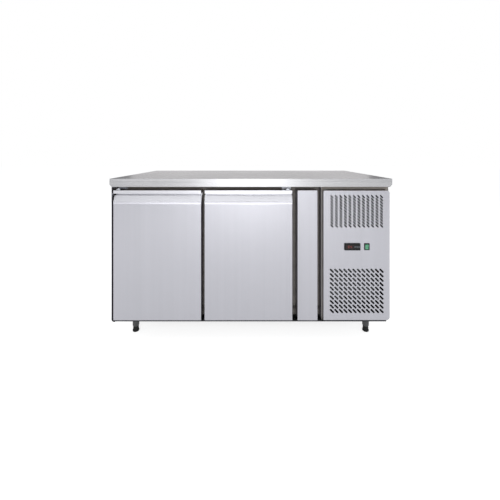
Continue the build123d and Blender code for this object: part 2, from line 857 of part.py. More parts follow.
def make_switch_rocker():
    """The rocker cap, dished across its face, with its two pivot stubs, tilted to ON."""
    half = rocker_height / 2
    back_half = half - rocker_back_taper
    front = rocker_pivot_y - rocker_pivot_depth
    back = front + rocker_pivot_depth + 2 * rocker_dish
    points = [(front, control_z + half), (front + rocker_dish, control_z),
              (front, control_z - half), (back, control_z - back_half),
              (back, control_z + back_half)]
    cap = prism_along_x(points, switch_x - rocker_width / 2, switch_x + rocker_width / 2)
    stub_length = switch_body_width - 2 * rocker_stub_gap
    stubs = bar_along_x(switch_x - stub_length / 2, stub_length, rocker_pivot_y, control_z,
                        2 * rocker_dish)
    cap = cap + stubs
    pivot = Axis((switch_x, rocker_pivot_y, control_z), (1, 0, 0))
    return cap.rotate(pivot, rocker_tilt)


# ---- Feet ----

def make_leg_sleeves():
    """The four tapered sleeves under the cabinet, bored for the feet's threaded stems."""
    sleeves = []
    for x, y in foot_places.values():
        taper_length = leg_height - sleeve_flange_height - foot_pad_height
        taper = Pos(x, y, foot_pad_height + taper_length / 2) * Cone(
            sleeve_bottom_diameter / 2, sleeve_diameter / 2, taper_length)
        flange = Pos(x, y, leg_height - sleeve_flange_height / 2) * Cone(
            sleeve_diameter / 2, sleeve_top_diameter / 2, sleeve_flange_height)
        bore_diameter = foot_stem_diameter + 2 * foot_stem_clearance
        bore_length = foot_stem_length + foot_stem_clearance
        bore = upright(x, y, foot_pad_height, bore_length, bore_diameter)
        sleeves.append(taper + flange - bore)
    return Compound(children=sleeves)


def make_foot(x, y):
    """A screw foot: a pad with a waist and a threaded stem up into its sleeve."""
    pad = upright(x, y, 0, foot_pad_rim_height, foot_pad_diameter)
    pad = chamfer(pad.edges().filter_by(GeomType.CIRCLE), foot_pad_chamfer)
    neck_height = foot_pad_height - foot_pad_rim_height
    neck = Pos(x, y, foot_pad_rim_height + neck_height / 2) * Cone(
        foot_pad_waist / 2, sleeve_bottom_diameter / 2, neck_height)
    stem = upright(x, y, foot_pad_height, foot_stem_length, foot_stem_diameter)
    return pad + neck + stem


# ---- Hinges ----

def make_hinge_brackets():
    """Upper brackets on the front frame and lower plates on the base pan, each holding a pin."""
    nose = pin_y - bracket_nose
    top_z = (door_top + bracket_door_gap, door_top + bracket_door_gap + bracket_thickness)
    bottom_z = (base_z, base_z + bracket_thickness)
    tab_z = (top_z[1], top_z[1] + bracket_tab_height)
    brackets = []
    for pin_x in (left_pin_x, right_pin_x):
        arm_x = (pin_x - bracket_width / 2, pin_x + bracket_width / 2)
        tab_x = (pin_x - bracket_tab_width / 2, pin_x + bracket_tab_width / 2)
        arm = block(arm_x, (nose, frame_y), top_z)
        tab = block(tab_x, (frame_y - bracket_thickness, frame_y), (top_z[0], tab_z[1]))
        hole = upright(pin_x, pin_y, top_z[0], bracket_thickness, pin_diameter)
        screw_holes = []
        for offset in bracket_screw_offsets():
            screw_holes.append(bar_along_y(frame_y - bracket_thickness, bracket_thickness,
                                           pin_x + offset, bracket_tab_centre_z(),
                                           screw_diameter))
        brackets.append(arm + tab - hole - screw_holes)
        plate = block(arm_x, (nose, frame_y), bottom_z)
        brackets.append(plate - upright(pin_x, pin_y, base_z, bracket_thickness, pin_diameter))
    return Compound(children=brackets)


def make_hinge_pins():
    """The four hinge pins: headed ones above the doors, plain ones below."""
    pins = []
    top_plate = door_top + bracket_door_gap + bracket_thickness
    top_end = door_top - top_bush_length + pin_end_gap
    for pin_x in (left_pin_x, right_pin_x):
        shank = upright(pin_x, pin_y, top_end, top_plate - top_end, pin_diameter)
        head = upright(pin_x, pin_y, top_plate, pin_head_height, pin_head_diameter)
        pins.append(shank + head)
        reach = bracket_thickness + bottom_bush_length - torsion_bar_gap - pin_end_gap
        pins.append(upright(pin_x, pin_y, base_z, reach, pin_diameter))
    return Compound(children=pins)


# ---- Doors ----

def door_profile(inset):
    """The door's side view as (y, z) points, moved inwards by the sheet thickness."""
    front = face_y + inset
    back = face_y + door_thickness - inset
    throat = face_y + pull_depth + inset
    slope_angle = math.atan2(pull_ledge_depth, pull_slope_drop)
    bend_z = pull_slope_bottom - inset * math.tan(slope_angle / 2)
    ledge_y = face_y + pull_ledge_depth + inset / math.tan((math.pi / 2 + slope_angle) / 2)
    ledge_z = pull_throat_bottom - inset
    lip_z = pull_throat_top + inset
    return [(front, door_bottom + inset), (front, bend_z), (ledge_y, ledge_z),
            (throat, ledge_z), (throat, lip_z), (front, lip_z), (front, door_top - inset),
            (back, door_top - inset), (back, door_bottom + inset)]


def finger_pocket(x_range, inset):
    """The hollow behind the lip that fingers curl up into, grown by the sheet thickness."""
    pocket_x = (x_range[0] + pocket_end_inset - inset, x_range[1] - pocket_end_inset + inset)
    pocket_y = (face_y + pull_lip_thickness - inset, face_y + pull_depth + inset)
    pocket_z = (pull_throat_top, pull_throat_top + pocket_height + inset)
    return block(pocket_x, pocket_y, pocket_z)


def door_solid(x_range, inset, radius):
    """The door's whole form: side profile crossed with a plan that rounds its upright edges."""
    side = prism_along_x(door_profile(inset), x_range[0] + inset, x_range[1] - inset)
    along = side.edges().filter_by(Axis.X)
    near_bend = (pull_slope_bottom - door_sheet, pull_slope_bottom + door_sheet)
    bend = along.filter_by_position(Axis.Z, *near_bend).sort_by(Axis.Y)[:1]
    side = fillet(bend, pull_bend_radius - inset)
    plan = block((x_range[0] + inset, x_range[1] - inset),
                 (face_y + inset, face_y + door_thickness - inset),
                 (door_bottom + inset, door_top - inset))
    front_edges = plan.edges().filter_by(Axis.Z).group_by(Axis.Y)[0]
    plan = fillet(front_edges, radius)
    raised_x = (x_range[0] + door_raised_inset + inset, x_range[1] - door_raised_inset - inset)
    raised_z = (door_bottom + door_raised_inset + inset, door_top - door_raised_inset - inset)
    back = face_y + door_thickness
    root = back - door_liner_flange / 2
    raised = block(raised_x, (root, back + door_raised_depth - inset), raised_z)
    return (side & plan) + raised - finger_pocket(x_range, inset)


def bush_wells(pin_x):
    """The round spaces in a door that hold its bushes and the torsion bar."""
    top = upright(pin_x, pin_y, door_top - top_bush_length, top_bush_length, bush_diameter)
    bottom = upright(pin_x, pin_y, door_bottom, bottom_bush_length, bush_diameter)
    return [top, bottom, torsion_bar(pin_x)]


def torsion_bar(pin_x):
    """The closing spring: a bar that stands on the lower bush inside the door."""
    bar_bottom = door_bottom + bottom_bush_length
    bar_length = pull_slope_bottom - torsion_bar_top_gap - bar_bottom
    return upright(pin_x, pin_y, bar_bottom, bar_length, torsion_bar_diameter)


def make_door_bushes(pin_x):
    """The upper bush, the lower bush with its washer, and the torsion bar, as separate solids."""
    bore = pin_diameter + 2 * pin_running_clearance
    top = upright(pin_x, pin_y, door_top - top_bush_length, top_bush_length, bush_diameter)
    top = top - upright(pin_x, pin_y, door_top - top_bush_length, top_bush_length, bore)
    washer_z = base_z + bracket_thickness + bush_washer_clearance
    washer = upright(pin_x, pin_y, washer_z, door_bottom - washer_z, bush_diameter)
    bottom = upright(pin_x, pin_y, door_bottom, bottom_bush_length, bush_diameter)
    bore_top = door_bottom + bottom_bush_length - torsion_bar_gap
    bottom = bottom + washer
    bottom = bottom - upright(pin_x, pin_y, washer_z, bore_top - washer_z, bore)
    return Compound(children=[top, bottom, torsion_bar(pin_x)])


def make_door(x_range, pin_x):
    """A door's sheet pieces and its foam. Returns skin, foam, liner and pull."""
    wells = bush_wells(pin_x)
    outer = door_solid(x_range, 0, door_edge_radius)
    inner = door_solid(x_range, door_sheet, door_edge_radius - door_sheet)
    shell = outer - inner - wells
    foam = inner - wells
    liner_y = (face_y + door_thickness - door_liner_flange,
               face_y + door_thickness + door_raised_depth)
    liner = shell & block(x_range, liner_y, (door_bottom, door_top))
    front_y = (face_y, liner_y[0])
    seam_z = pull_slope_bottom + pull_bend_height
    skin = shell & block(x_range, front_y, (door_bottom, seam_z))
    pull = shell & block(x_range, front_y, (seam_z, door_top))
    return skin, foam, liner, pull


def make_gasket(x_range):
    """The door seal: four mitred strips that meet at the corners."""
    y_front = face_y + door_thickness
    left = x_range[0] + gasket_inset
    right = x_range[1] - gasket_inset
    low = door_bottom + gasket_inset
    high = door_top - gasket_inset
    w = gasket_width
    outlines = [
        [(left, low), (right, low), (right - w, low + w), (left + w, low + w)],
        [(right, low), (right, high), (right - w, high - w), (right - w, low + w)],
        [(right, high), (left, high), (left + w, high - w), (right - w, high - w)],
        [(left, high), (left, low), (left + w, low + w), (left + w, high - w)],
    ]
    strips = [prism_along_y(points, y_front, y_front + gasket_thickness) for points in outlines]
    return Compound(children=strips)


# ---- Shelves ----

def shelf_bays():
    """The clear X range of each shelf bay, left and right."""
    return {"left": left_opening, "right": right_opening}


def runner_range(bay_x):
    """The X range between the two runners' upright walls."""
    return (bay_x[0] + pilaster_depth + runner_sheet, bay_x[1] - pilaster_depth - runner_sheet)


def make_shelf_supports():
    """The upright pilasters and the angle runners that the shelves rest on."""
    pieces = []
    half = pilaster_width / 2
    runner_y = (pilaster_front_y - half, pilaster_rear_y + half)
    wall_z = (shelf_runner_z - runner_sheet, shelf_top_z + runner_sheet)
    ledge_z = (shelf_runner_z - runner_sheet, shelf_runner_z)
    for bay_x in shelf_bays().values():
        for x_range in ((bay_x[0], bay_x[0] + pilaster_depth), (bay_x[1] - pilaster_depth, bay_x[1])):
            for y in (pilaster_front_y, pilaster_rear_y):
                pieces.append(block(x_range, (y - half, y + half), (opening_bottom, opening_top)))
        inner = runner_range(bay_x)
        left_wall = block((inner[0] - runner_sheet, inner[0]), runner_y, wall_z)
        left_ledge = block((inner[0], inner[0] + runner_ledge), runner_y, ledge_z)
        right_wall = block((inner[1], inner[1] + runner_sheet), runner_y, wall_z)
        right_ledge = block((inner[1] - runner_ledge, inner[1]), runner_y, ledge_z)
        pieces.append(left_wall + left_ledge)
        pieces.append(right_wall + right_ledge)
    return Compound(children=pieces)


def make_shelf(bay_x):
    """A wire shelf: a round-bar frame with bearers, and wires laid across them."""
    inner = runner_range(bay_x)
    x_range = (inner[0] + shelf_side_clearance, inner[1] - shelf_side_clearance)
    y_range = (liner_front + shelf_end_clearance, liner_back - shelf_end_clearance)
    radius = shelf_frame_diameter / 2
    bar_z = shelf_runner_z + shelf_rest_gap + radius
    corners = Rectangle(x_range[1] - x_range[0] - shelf_frame_diameter,
                        y_range[1] - y_range[0] - shelf_frame_diameter)
    centre = (sum(x_range) / 2, sum(y_range) / 2, bar_z)
    path = Pos(*centre) * fillet(corners.vertices(), 4 * radius)
    wire = path.wire()
    section = Plane(origin=wire @ 0, z_dir=wire % 0) * Circle(radius)
    shelf = sweep(section, path=wire)
    wire_z = bar_z + radius + shelf_wire_diameter / 2 - shelf_wire_sink
    span = x_range[1] - x_range[0] - shelf_frame_diameter
    length = y_range[1] - y_range[0] - shelf_frame_diameter
    bearer_z = wire_z - shelf_wire_diameter + shelf_wire_sink
    wires = []
    for index in range(shelf_bearer_count):
        y = centre[1] + (index - (shelf_bearer_count - 1) / 2) * length / (shelf_bearer_count + 1)
        wires.append(bar_along_x(centre[0] - span / 2, span, y, bearer_z, shelf_wire_diameter))
    count = int((span - shelf_wire_pitch) // shelf_wire_pitch) + 1
    for index in range(count):
        x = centre[0] + (index - (count - 1) / 2) * shelf_wire_pitch
        wires.append(bar_along_y(centre[1] - length / 2, length, x, wire_z, shelf_wire_diameter))
    return shelf + wires


# ---- Evaporator chamber ----

def make_duct_panel():
    """The sheet that hides the evaporator: a fan mouth at the top and slots at the bottom."""
    x_range = (duct_left, duct_right)
    sheet = block(x_range, (liner_front, liner_back), (opening_bottom, opening_top))
    mouth = bar_along_x(x_range[0], duct_sheet, interior_centre_y, evaporator_fan_z,
                        duct_fan_diameter)
    cuts = [mouth]
    duct_slot_columns = int((liner_back - liner_front) // duct_slot_column_pitch) - 1
    for row in range(duct_slot_rows):
        z = opening_bottom + duct_slot_from_floor + row * duct_slot_pitch
        for column in range(duct_slot_columns):
            offset = column - (duct_slot_columns - 1) / 2
            y = interior_centre_y + offset * duct_slot_column_pitch
            y_range = (y - duct_slot_length / 2, y + duct_slot_length / 2)
            cuts.append(block(x_range, y_range, (z - duct_slot_width / 2, z + duct_slot_width / 2)))
    return sheet - cuts


def end_bend(centre, pitch, diameter, outward, across):
    """A half-turn of tube joining two tube ends. outward and across are unit directions."""
    start = Vector(*centre) - Vector(*across) * (pitch / 2)
    end = Vector(*centre) + Vector(*across) * (pitch / 2)
    middle = Vector(*centre) + Vector(*outward) * (pitch / 2)
    arc = ThreePointArc(start, middle, end)
    section = Plane(origin=start, z_dir=outward) * Circle(diameter / 2)
    return sweep(section, path=arc)


def fin_stack(fin, start, span, pitch, direction):
    """Copies of a fin at an even pitch over a span, the first one at start."""
    fins = []
    for index in range(int(span // pitch) + 1):
        shift = start + index * pitch
        fins.append(Pos(*[shift * part for part in direction]) * fin)
    return fins


def make_evaporator_coil():
    """The finned evaporator coil: two columns of tubes that run front to back."""
    y_start = interior_centre_y - coil_length / 2
    x_range = (chamber_centre_x - coil_width / 2, chamber_centre_x + coil_width / 2)
    fin = block(x_range, (0, coil_fin_thickness), (coil_bottom, coil_top))
    fins = fin_stack(fin, y_start, coil_length, coil_fin_pitch, (0, 1, 0))
    tube_start = y_start - coil_tube_end
    tube_length = coil_length + 2 * coil_tube_end
    pieces = []
    for x in (coil_near_x, coil_far_x):
        for row in range(coil_rows):
            z = coil_first_z + row * coil_tube_pitch
            pieces.append(bar_along_y(tube_start, tube_length, x, z, coil_tube_diameter))
            if row < coil_rows - 1:
                at_front = row % 2 == 0
                y = tube_start if at_front else tube_start + tube_length
                outward = (0, -1, 0) if at_front else (0, 1, 0)
                pieces.append(end_bend((x, y, z + coil_tube_pitch / 2), coil_tube_pitch,
                                       coil_tube_diameter, outward, (0, 0, 1)))
    last_z = coil_first_z + (coil_rows - 1) * coil_tube_pitch
    crossing = (chamber_centre_x, tube_start + tube_length, last_z)
    pieces.append(end_bend(crossing, coil_tube_pitch, coil_tube_diameter, (0, 1, 0), (1, 0, 0)))
    return fins[0] + fins[1:] + pieces


def make_condenser_coil():
    """The finned condenser, with tubes that run from side to side."""
    x_start = condenser_x - condenser_width / 2
    z_range = (condenser_bottom, condenser_bottom + condenser_height)
    fin = block((0, condenser_fin_thickness), (condenser_front, condenser_back), z_range)
    fin_span = condenser_width - condenser_fin_thickness
    fins = fin_stack(fin, x_start, fin_span, condenser_fin_pitch, (1, 0, 0))
    tube_start = x_start - condenser_tube_end
    tube_length = condenser_end_x - tube_start
    pieces = []
    for row in range(condenser_rows):
        z = condenser_first_z + row * condenser_tube_pitch
        pieces.append(bar_along_x(tube_start, tube_length, condenser_tube_y, z,
                                  condenser_tube_diameter))
        if row < condenser_rows - 1:
            at_left = row % 2 == 0
            x = tube_start if at_left else condenser_end_x
            outward = (-1, 0, 0) if at_left else (1, 0, 0)
            pieces.append(end_bend((x, condenser_tube_y, z + condenser_tube_pitch / 2),
                                   condenser_tube_pitch, condenser_tube_diameter, outward,
                                   (0, 0, 1)))
    return fins[0] + fins[1:] + pieces


def open_tray(x_range, y_range, z_bottom, wall_height, sheet):
    """A shallow open-topped tray."""
    outer = block(x_range, y_range, (z_bottom, z_bottom + wall_height))
    inner_x = (x_range[0] + sheet, x_range[1] - sheet)
    inner_y = (y_range[0] + sheet, y_range[1] - sheet)
    return outer - block(inner_x, inner_y, (z_bottom + sheet, z_bottom + wall_height))


def make_drip_tray():
    """The tray under the evaporator, with its drain hole."""
    x_range = (duct_right + tray_margin, liner_right - tray_margin)
    reach = coil_length / 2 + coil_tube_pitch
    y_range = (interior_centre_y - reach, interior_centre_y + reach)
    tray = open_tray(x_range, y_range, tray_bottom, tray_depth, tray_sheet)
    return tray - upright(drain_start_x(), drain_y, tray_bottom, tray_sheet,
                          drain_diameter - 2 * drain_wall)


def drain_start_x():
    """X of the drain's upright end under the tray."""
    return liner_right - tray_margin - drain_diameter


def swept_rod(points, radius, diameter):
    """A round rod along straight runs joined by arcs."""
    path = FilletPolyline(*points, radius=radius)
    start = Vector(*points[0])
    heading = Vector(*points[1]) - start
    section = Plane(origin=start, z_dir=heading) * Circle(diameter / 2)
    return sweep(section, path=path)


def make_drain_pipe():
    """The drain, from under the tray, out through the insulated wall and down over the pan."""
    tip_z = base_z + evaporation_pan_depth + drain_tip_gap
    points = [(drain_start_x(), drain_y, tray_bottom), (drain_start_x(), drain_y, drain_z),
              (drain_tip_x, drain_y, drain_z), (drain_tip_x, drain_y, tip_z)]
    outer = swept_rod(points, drain_bend_radius, drain_diameter)
    return outer - swept_rod(points, drain_bend_radius, drain_diameter - 2 * drain_wall)


def make_evaporation_pan():
    """The pan on the floor of the bay, under the end of the drain."""
    x_range = (pan_left, pan_left + evaporation_pan_width)
    y_range = (drain_y - evaporation_pan_length / 2, drain_y + evaporation_pan_length / 2)
    return open_tray(x_range, y_range, base_z, evaporation_pan_depth, evaporation_pan_sheet)


# ---- Fans ----

def fan_rotor(diameter):
    """A hub with pitched blades and its shaft, turning about Z, centred on the origin."""
    hub = Cylinder(fan_hub_diameter / 2, fan_hub_length)
    hub = fillet(hub.edges().filter_by(GeomType.CIRCLE).sort_by(Axis.Z)[0], fan_hub_edge_radius)
    blade_start = fan_hub_diameter / 2 - fan_blade_root
    blade_length = diameter / 2 - blade_start
    blade = Box(blade_length, fan_blade_width, fan_blade_thickness)
    rim = Cylinder(diameter / 2, 2 * fan_blade_width)
    blades = []
    for index in range(fan_blade_count):
        turned = Rot(0, 0, index * 360 / fan_blade_count)
        place = turned * Pos(blade_start + blade_length / 2, 0, 0)
        blades.append((place * Rot(fan_blade_pitch, 0, 0) * blade) & rim)
    shaft_length = fan_hub_length + fan_motor_gap + fan_shaft_engagement
    shaft_z = shaft_length / 2 - fan_hub_length / 2
    shaft = Pos(0, 0, shaft_z) * Cylinder(fan_shaft_diameter / 2, shaft_length)
    return hub + blades + shaft


def fan_motor(motor_diameter, motor_length, mouth_diameter, leg_start):
    """A fan motor with a three-armed bracket, in the same frame as its rotor."""
    front = fan_hub_length / 2 + fan_motor_gap
    body = Pos(0, 0, front + motor_length / 2) * Cylinder(motor_diameter / 2, motor_length)
    back_edge = body.edges().filter_by(GeomType.CIRCLE).sort_by(Axis.Z)[-1]
    body = fillet(back_edge, fan_motor_edge_radius)
    reach = mouth_diameter / 2 + fan_arm_margin
    arms = []
    for index in range(fan_arm_count):
        turned = Rot(0, 0, 90 + index * 360 / fan_arm_count)
        arm_length = reach - motor_diameter / 2 + fan_arm_root
        arm_centre = reach - arm_length / 2
        arm = Box(arm_length, fan_arm_width, fan_arm_thickness)
        arms.append(turned * Pos(arm_centre, 0, front + fan_arm_thickness / 2) * arm)
        leg_length = front + fan_arm_thickness - leg_start
        leg = Box(fan_arm_thickness, fan_arm_width, leg_length)
        leg_x = reach - fan_arm_thickness / 2
        arms.append(turned * Pos(leg_x, 0, leg_start + leg_length / 2) * leg)
    bore_radius = fan_shaft_diameter / 2 + pin_running_clearance
    bore_length = fan_shaft_engagement + fan_bore_end_gap
    bore = Pos(0, 0, front + bore_length / 2) * Cylinder(bore_radius, bore_length)
    return body + arms - bore


def evaporator_fan_place():
    """Where the evaporator fan sits: its axis along X, behind the duct panel."""
    return Pos(evaporator_fan_x, interior_centre_y, evaporator_fan_z) * Rot(0, 90, 0)


def condenser_fan_place():
    """Where the condenser fan sits: its axis along Y, in the mouth of the shroud."""
    return Pos(condenser_x, shroud_back, condenser_z) * Rot(-90, 0, 0)


def make_condenser_shroud():
    """The sheet box behind the condenser, with the fan's mouth in its back."""
    x_range = (condenser_x - condenser_width / 2, condenser_x + condenser_width / 2)
    z_range = (condenser_bottom, condenser_bottom + condenser_height)
    outer = block(x_range, (condenser_back, shroud_back), z_range)
    inner_x = (x_range[0] + shroud_sheet, x_range[1] - shroud_sheet)
    inner_z = (z_range[0] + shroud_sheet, z_range[1] - shroud_sheet)
    hollow = block(inner_x, (condenser_back, shroud_back - shroud_sheet), inner_z)
    mouth = bar_along_y(condenser_back, shroud_depth, condenser_x, condenser_z,
                        shroud_hole_diameter)
    return outer - hollow - mouth


# ---- Condensing unit ----

def mount_places():
    """Centres of the compressor's four rubber mounts."""
    reach_x = compressor_plate_width / 2 - mount_inset
    reach_y = compressor_plate_length / 2 - mount_inset
    places = []
    for side in (-1, 1):
        for end in (-1, 1):
            places.append((compressor_x + side * reach_x, compressor_y + end * reach_y))
    return places


def make_compressor():
    """The hermetic compressor: domed shell, base plate and terminal box."""
    shell = upright(compressor_x, compressor_y, compressor_plate_z, compressor_height,
                    compressor_diameter)
    shell = fillet(shell.edges().filter_by(GeomType.CIRCLE), compressor_dome)
    half_width = compressor_plate_width / 2
    half_length = compressor_plate_length / 2
    plate = block((compressor_x - half_width, compressor_x + half_width),
                  (compressor_y - half_length, compressor_y + half_length),
                  (compressor_plate_z, compressor_plate_z + compressor_plate_thickness))
    plate = fillet(plate.edges().filter_by(Axis.Z), mount_inset)
    box_right = compressor_x - compressor_diameter / 2 + terminal_box_depth / 2
    box_z = compressor_plate_z + compressor_height / 2
    terminal_box = block((box_right - terminal_box_depth, box_right),
                         (compressor_y - terminal_box_width / 2,
                          compressor_y + terminal_box_width / 2),
                         (box_z - terminal_box_height / 2, box_z + terminal_box_height / 2))
    terminal_box = fillet(terminal_box.edges().filter_by(Axis.X), terminal_box_radius)
    return shell + plate + terminal_box


def make_compressor_mounts():
    """The four rubber mounts under the compressor's plate."""
    mounts = []
    for x, y in mount_places():
        mount = upright(x, y, base_z, mount_height, mount_diameter)
        mounts.append(chamfer(mount.edges().filter_by(GeomType.CIRCLE), mount_chamfer))
    return Compound(children=mounts)


def make_refrigerant_lines():
    """The suction, discharge and liquid lines, the last with its filter drier."""
    bay_x = bay_inner_left + line_from_wall
    high_z = compressor_top_z + line_over_compressor
    port_x = compressor_x - line_port_offset
    suction = swept_rod([
        (coil_near_x, coil_back_end, coil_first_z), (coil_near_x, suction_y, coil_first_z),
        (coil_near_x, suction_y, suction_z), (bay_x + line_from_wall, suction_y, suction_z),
        (bay_x + line_from_wall, suction_y, high_z), (port_x, compressor_y, high_z),
        (port_x, compressor_y, compressor_top_z)], line_bend_radius, line_diameter)
    port_x = compressor_x + line_port_offset
    discharge = swept_rod([
        (port_x, compressor_y, compressor_top_z), (port_x, compressor_y, high_z),
        (line_right_x, compressor_y, high_z), (line_right_x, condenser_tube_y, condenser_last_z),
        (condenser_end_x, condenser_tube_y, condenser_last_z)], line_bend_radius, line_diameter)
    mid_y = condenser_motor_back + line_clear_of_motor
    mid_z = base_z + line_drier_height
    liquid = swept_rod([
        (condenser_end_x, condenser_tube_y, condenser_first_z),
        (line_right_x, condenser_tube_y, condenser_first_z), (line_right_x, mid_y, mid_z),
        (bay_x, mid_y, mid_z), (bay_x, liquid_y, mid_z), (bay_x, liquid_y, coil_first_z),
        (coil_far_x, liquid_y, coil_first_z), (coil_far_x, coil_back_end, coil_first_z)],
        line_bend_radius, line_diameter)
    drier = bar_along_x(condenser_x - drier_length / 2, drier_length, mid_y, mid_z,
                        drier_diameter)
    drier = fillet(drier.edges().filter_by(GeomType.CIRCLE), drier_end_radius)
    return Compound(children=[suction, discharge, liquid + drier])


def make_electrical_box():
    """The closed box on the bay's right-hand wall that holds the wiring."""
    x_range = (bay_inner_right - electrical_box_width, bay_inner_right)
    back = cabinet_back - electrical_box_from_back
    y_range = (back - electrical_box_length, back)
    top = worktop_bottom - electrical_box_from_top
    z_range = (top - electrical_box_height, top)
    outer = block(x_range, y_range, z_range)
    outer = fillet(outer.faces().sort_by(Axis.X)[0].edges(), electrical_box_wall)
    wall = electrical_box_wall
    hollow = block((x_range[0] + wall, x_range[1] - wall), (y_range[0] + wall, y_range[1] - wall),
                   (z_range[0] + wall, z_range[1] - wall))
    return outer - hollow


# ---- Assembly ----

def save_cabinet():
    """Write the worktop, the casing, the insulated cabinet and its front."""
    core = make_worktop_core()
    save(core, "worktop_core")
    save(make_worktop_shell(core), "worktop_shell")
    save(make_side_panel(-1, face_y, True), "side_panel_left")
    save(make_side_panel(1, bay_front, False), "side_panel_right")
    save(make_base_pan(), "base_pan")
    save(make_back_panel(), "back_panel")
    save(make_insulation(), "cabinet_insulation")
    save(make_liner(), "inner_liner")
    save(make_front_frame(), "front_frame")
    save(make_filler_panel(), "filler_panel")


def save_bay_casing():
    """Write the machine bay's casing, controls and fasteners."""
    save(make_bay_wall(), "bay_wall")
    save(make_bay_frame(), "bay_frame")
    save(make_machine_panel(), "machine_panel")
    save(make_rear_grille(), "rear_grille")
    save(make_cable_gland(), "cable_gland")
    save(make_panel_screws(), "panel_screws")
    save(make_controller_case(), "controller_case")
    save(make_controller_window(), "controller_window")
    for name, x in key_places().items():
        save(make_controller_key(x), "controller_key_" + name)
    save(make_switch_housing(), "switch_housing")
    save(make_switch_rocker(), "switch_rocker")


def save_feet():
    """Write the leg sleeves and the four screw feet."""
    save(make_leg_sleeves(), "leg_sleeves")
    for name, (x, y) in foot_places.items():
        save(make_foot(x, y), "foot_" + name)


def save_doors():
    """Write the hinges and every piece of both doors."""
    save(make_hinge_brackets(), "hinge_brackets")
    save(make_hinge_pins(), "hinge_pins")
    doors = {
        "left": ((left_door_left, left_door_right), left_pin_x),
        "right": ((right_door_left, right_door_right), right_pin_x),
    }
    for side, (x_range, pin_x) in doors.items():
        skin, foam, liner, pull = make_door(x_range, pin_x)
        save(skin, side + "_door_skin")
        save(foam, side + "_door_insulation")
        save(liner, side + "_door_liner")
        save(pull, side + "_door_pull")
        save(make_gasket(x_range), side + "_door_gasket")
        save(make_door_bushes(pin_x), side + "_door_hinge_parts")


def save_interior():
    """Write the shelves, the duct panel and the evaporator chamber's parts."""
    save(make_shelf_supports(), "shelf_supports")
    for side, bay_x in shelf_bays().items():
        save(make_shelf(bay_x), side + "_shelf")
    save(make_duct_panel(), "duct_panel")
    save(make_evaporator_coil(), "evaporator_coil")
    save(make_drip_tray(), "drip_tray")
    save(make_drain_pipe(), "drain_pipe")
    motor = fan_motor(evaporator_motor_diameter, evaporator_motor_length, duct_fan_diameter,
                      duct_right - evaporator_fan_x)
    save(evaporator_fan_place() * motor, "evaporator_fan_motor")
    save(evaporator_fan_place() * fan_rotor(evaporator_fan_diameter), "evaporator_fan_rotor")


def save_condensing_unit():
    """Write the parts of the machine bay."""
    save(make_condenser_coil(), "condenser_coil")
    save(make_condenser_shroud(), "condenser_shroud")
    motor = fan_motor(condenser_motor_diameter, condenser_motor_length, shroud_hole_diameter, 0)
    save(condenser_fan_place() * motor, "condenser_fan_motor")
    save(condenser_fan_place() * fan_rotor(condenser_fan_diameter), "condenser_fan_rotor")
    save(make_compressor(), "compressor")
    save(make_compressor_mounts(), "compressor_mounts")
    save(make_refrigerant_lines(), "refrigerant_lines")
    save(make_evaporation_pan(), "evaporation_pan")
    save(make_electrical_box(), "electrical_box")


os.makedirs("parts", exist_ok=True)
save_cabinet()
save_bay_casing()
save_feet()
save_doors()
save_interior()
save_condensing_unit()
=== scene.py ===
import json
import math

import bmesh
import bpy
from mathutils import Matrix, Vector


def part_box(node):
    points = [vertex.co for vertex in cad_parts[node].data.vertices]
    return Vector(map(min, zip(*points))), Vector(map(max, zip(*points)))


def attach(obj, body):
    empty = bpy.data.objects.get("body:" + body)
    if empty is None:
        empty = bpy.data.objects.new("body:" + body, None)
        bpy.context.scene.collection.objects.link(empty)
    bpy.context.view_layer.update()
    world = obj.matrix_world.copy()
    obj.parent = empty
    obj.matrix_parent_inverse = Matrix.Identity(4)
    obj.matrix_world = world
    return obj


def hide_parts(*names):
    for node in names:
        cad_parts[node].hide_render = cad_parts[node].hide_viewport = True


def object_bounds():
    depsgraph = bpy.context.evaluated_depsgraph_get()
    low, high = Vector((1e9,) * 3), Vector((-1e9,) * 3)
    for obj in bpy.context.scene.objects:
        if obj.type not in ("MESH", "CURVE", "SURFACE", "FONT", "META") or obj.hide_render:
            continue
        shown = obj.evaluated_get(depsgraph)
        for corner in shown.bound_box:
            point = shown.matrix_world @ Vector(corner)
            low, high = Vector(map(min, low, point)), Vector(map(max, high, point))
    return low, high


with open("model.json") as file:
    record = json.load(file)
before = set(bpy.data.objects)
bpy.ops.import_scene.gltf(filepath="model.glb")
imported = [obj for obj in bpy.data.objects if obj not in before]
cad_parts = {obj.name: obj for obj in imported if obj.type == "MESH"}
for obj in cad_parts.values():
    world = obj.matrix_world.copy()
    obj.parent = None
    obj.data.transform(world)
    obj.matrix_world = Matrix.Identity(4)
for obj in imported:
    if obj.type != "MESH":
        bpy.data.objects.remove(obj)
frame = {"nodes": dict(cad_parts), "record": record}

bl_info = {
    "name": "Counter refrigerator",
    "version": (1, 0, 0),
    "blender": (4, 5, 0),
    "location": "View3D > Sidebar > Refrigerator",
    "description": "Finishes and fine pieces of a two-door counter refrigerator, built round its CAD model",
    "category": "Object",
}

CAD_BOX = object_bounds()
MM = 0.001
WELD = 0.002 * MM
FLAT_ANGLE = math.radians(0.6)
SHARP_ANGLE = math.radians(30)
SHADE_ANGLE = math.radians(32)
BODY_OF = {node: body for body, nodes in frame["record"]["behaviour"]["bodies"].items() for node in nodes}


# ---- Colours and nodes ----

def linear(code):
    """The linear colour of an sRGB hex code, with full alpha."""
    parts = [int(code[i:i + 2], 16) / 255 for i in (0, 2, 4)]
    return [c / 12.92 if c <= 0.04045 else ((c + 0.055) / 1.055) ** 2.4 for c in parts] + [1.0]


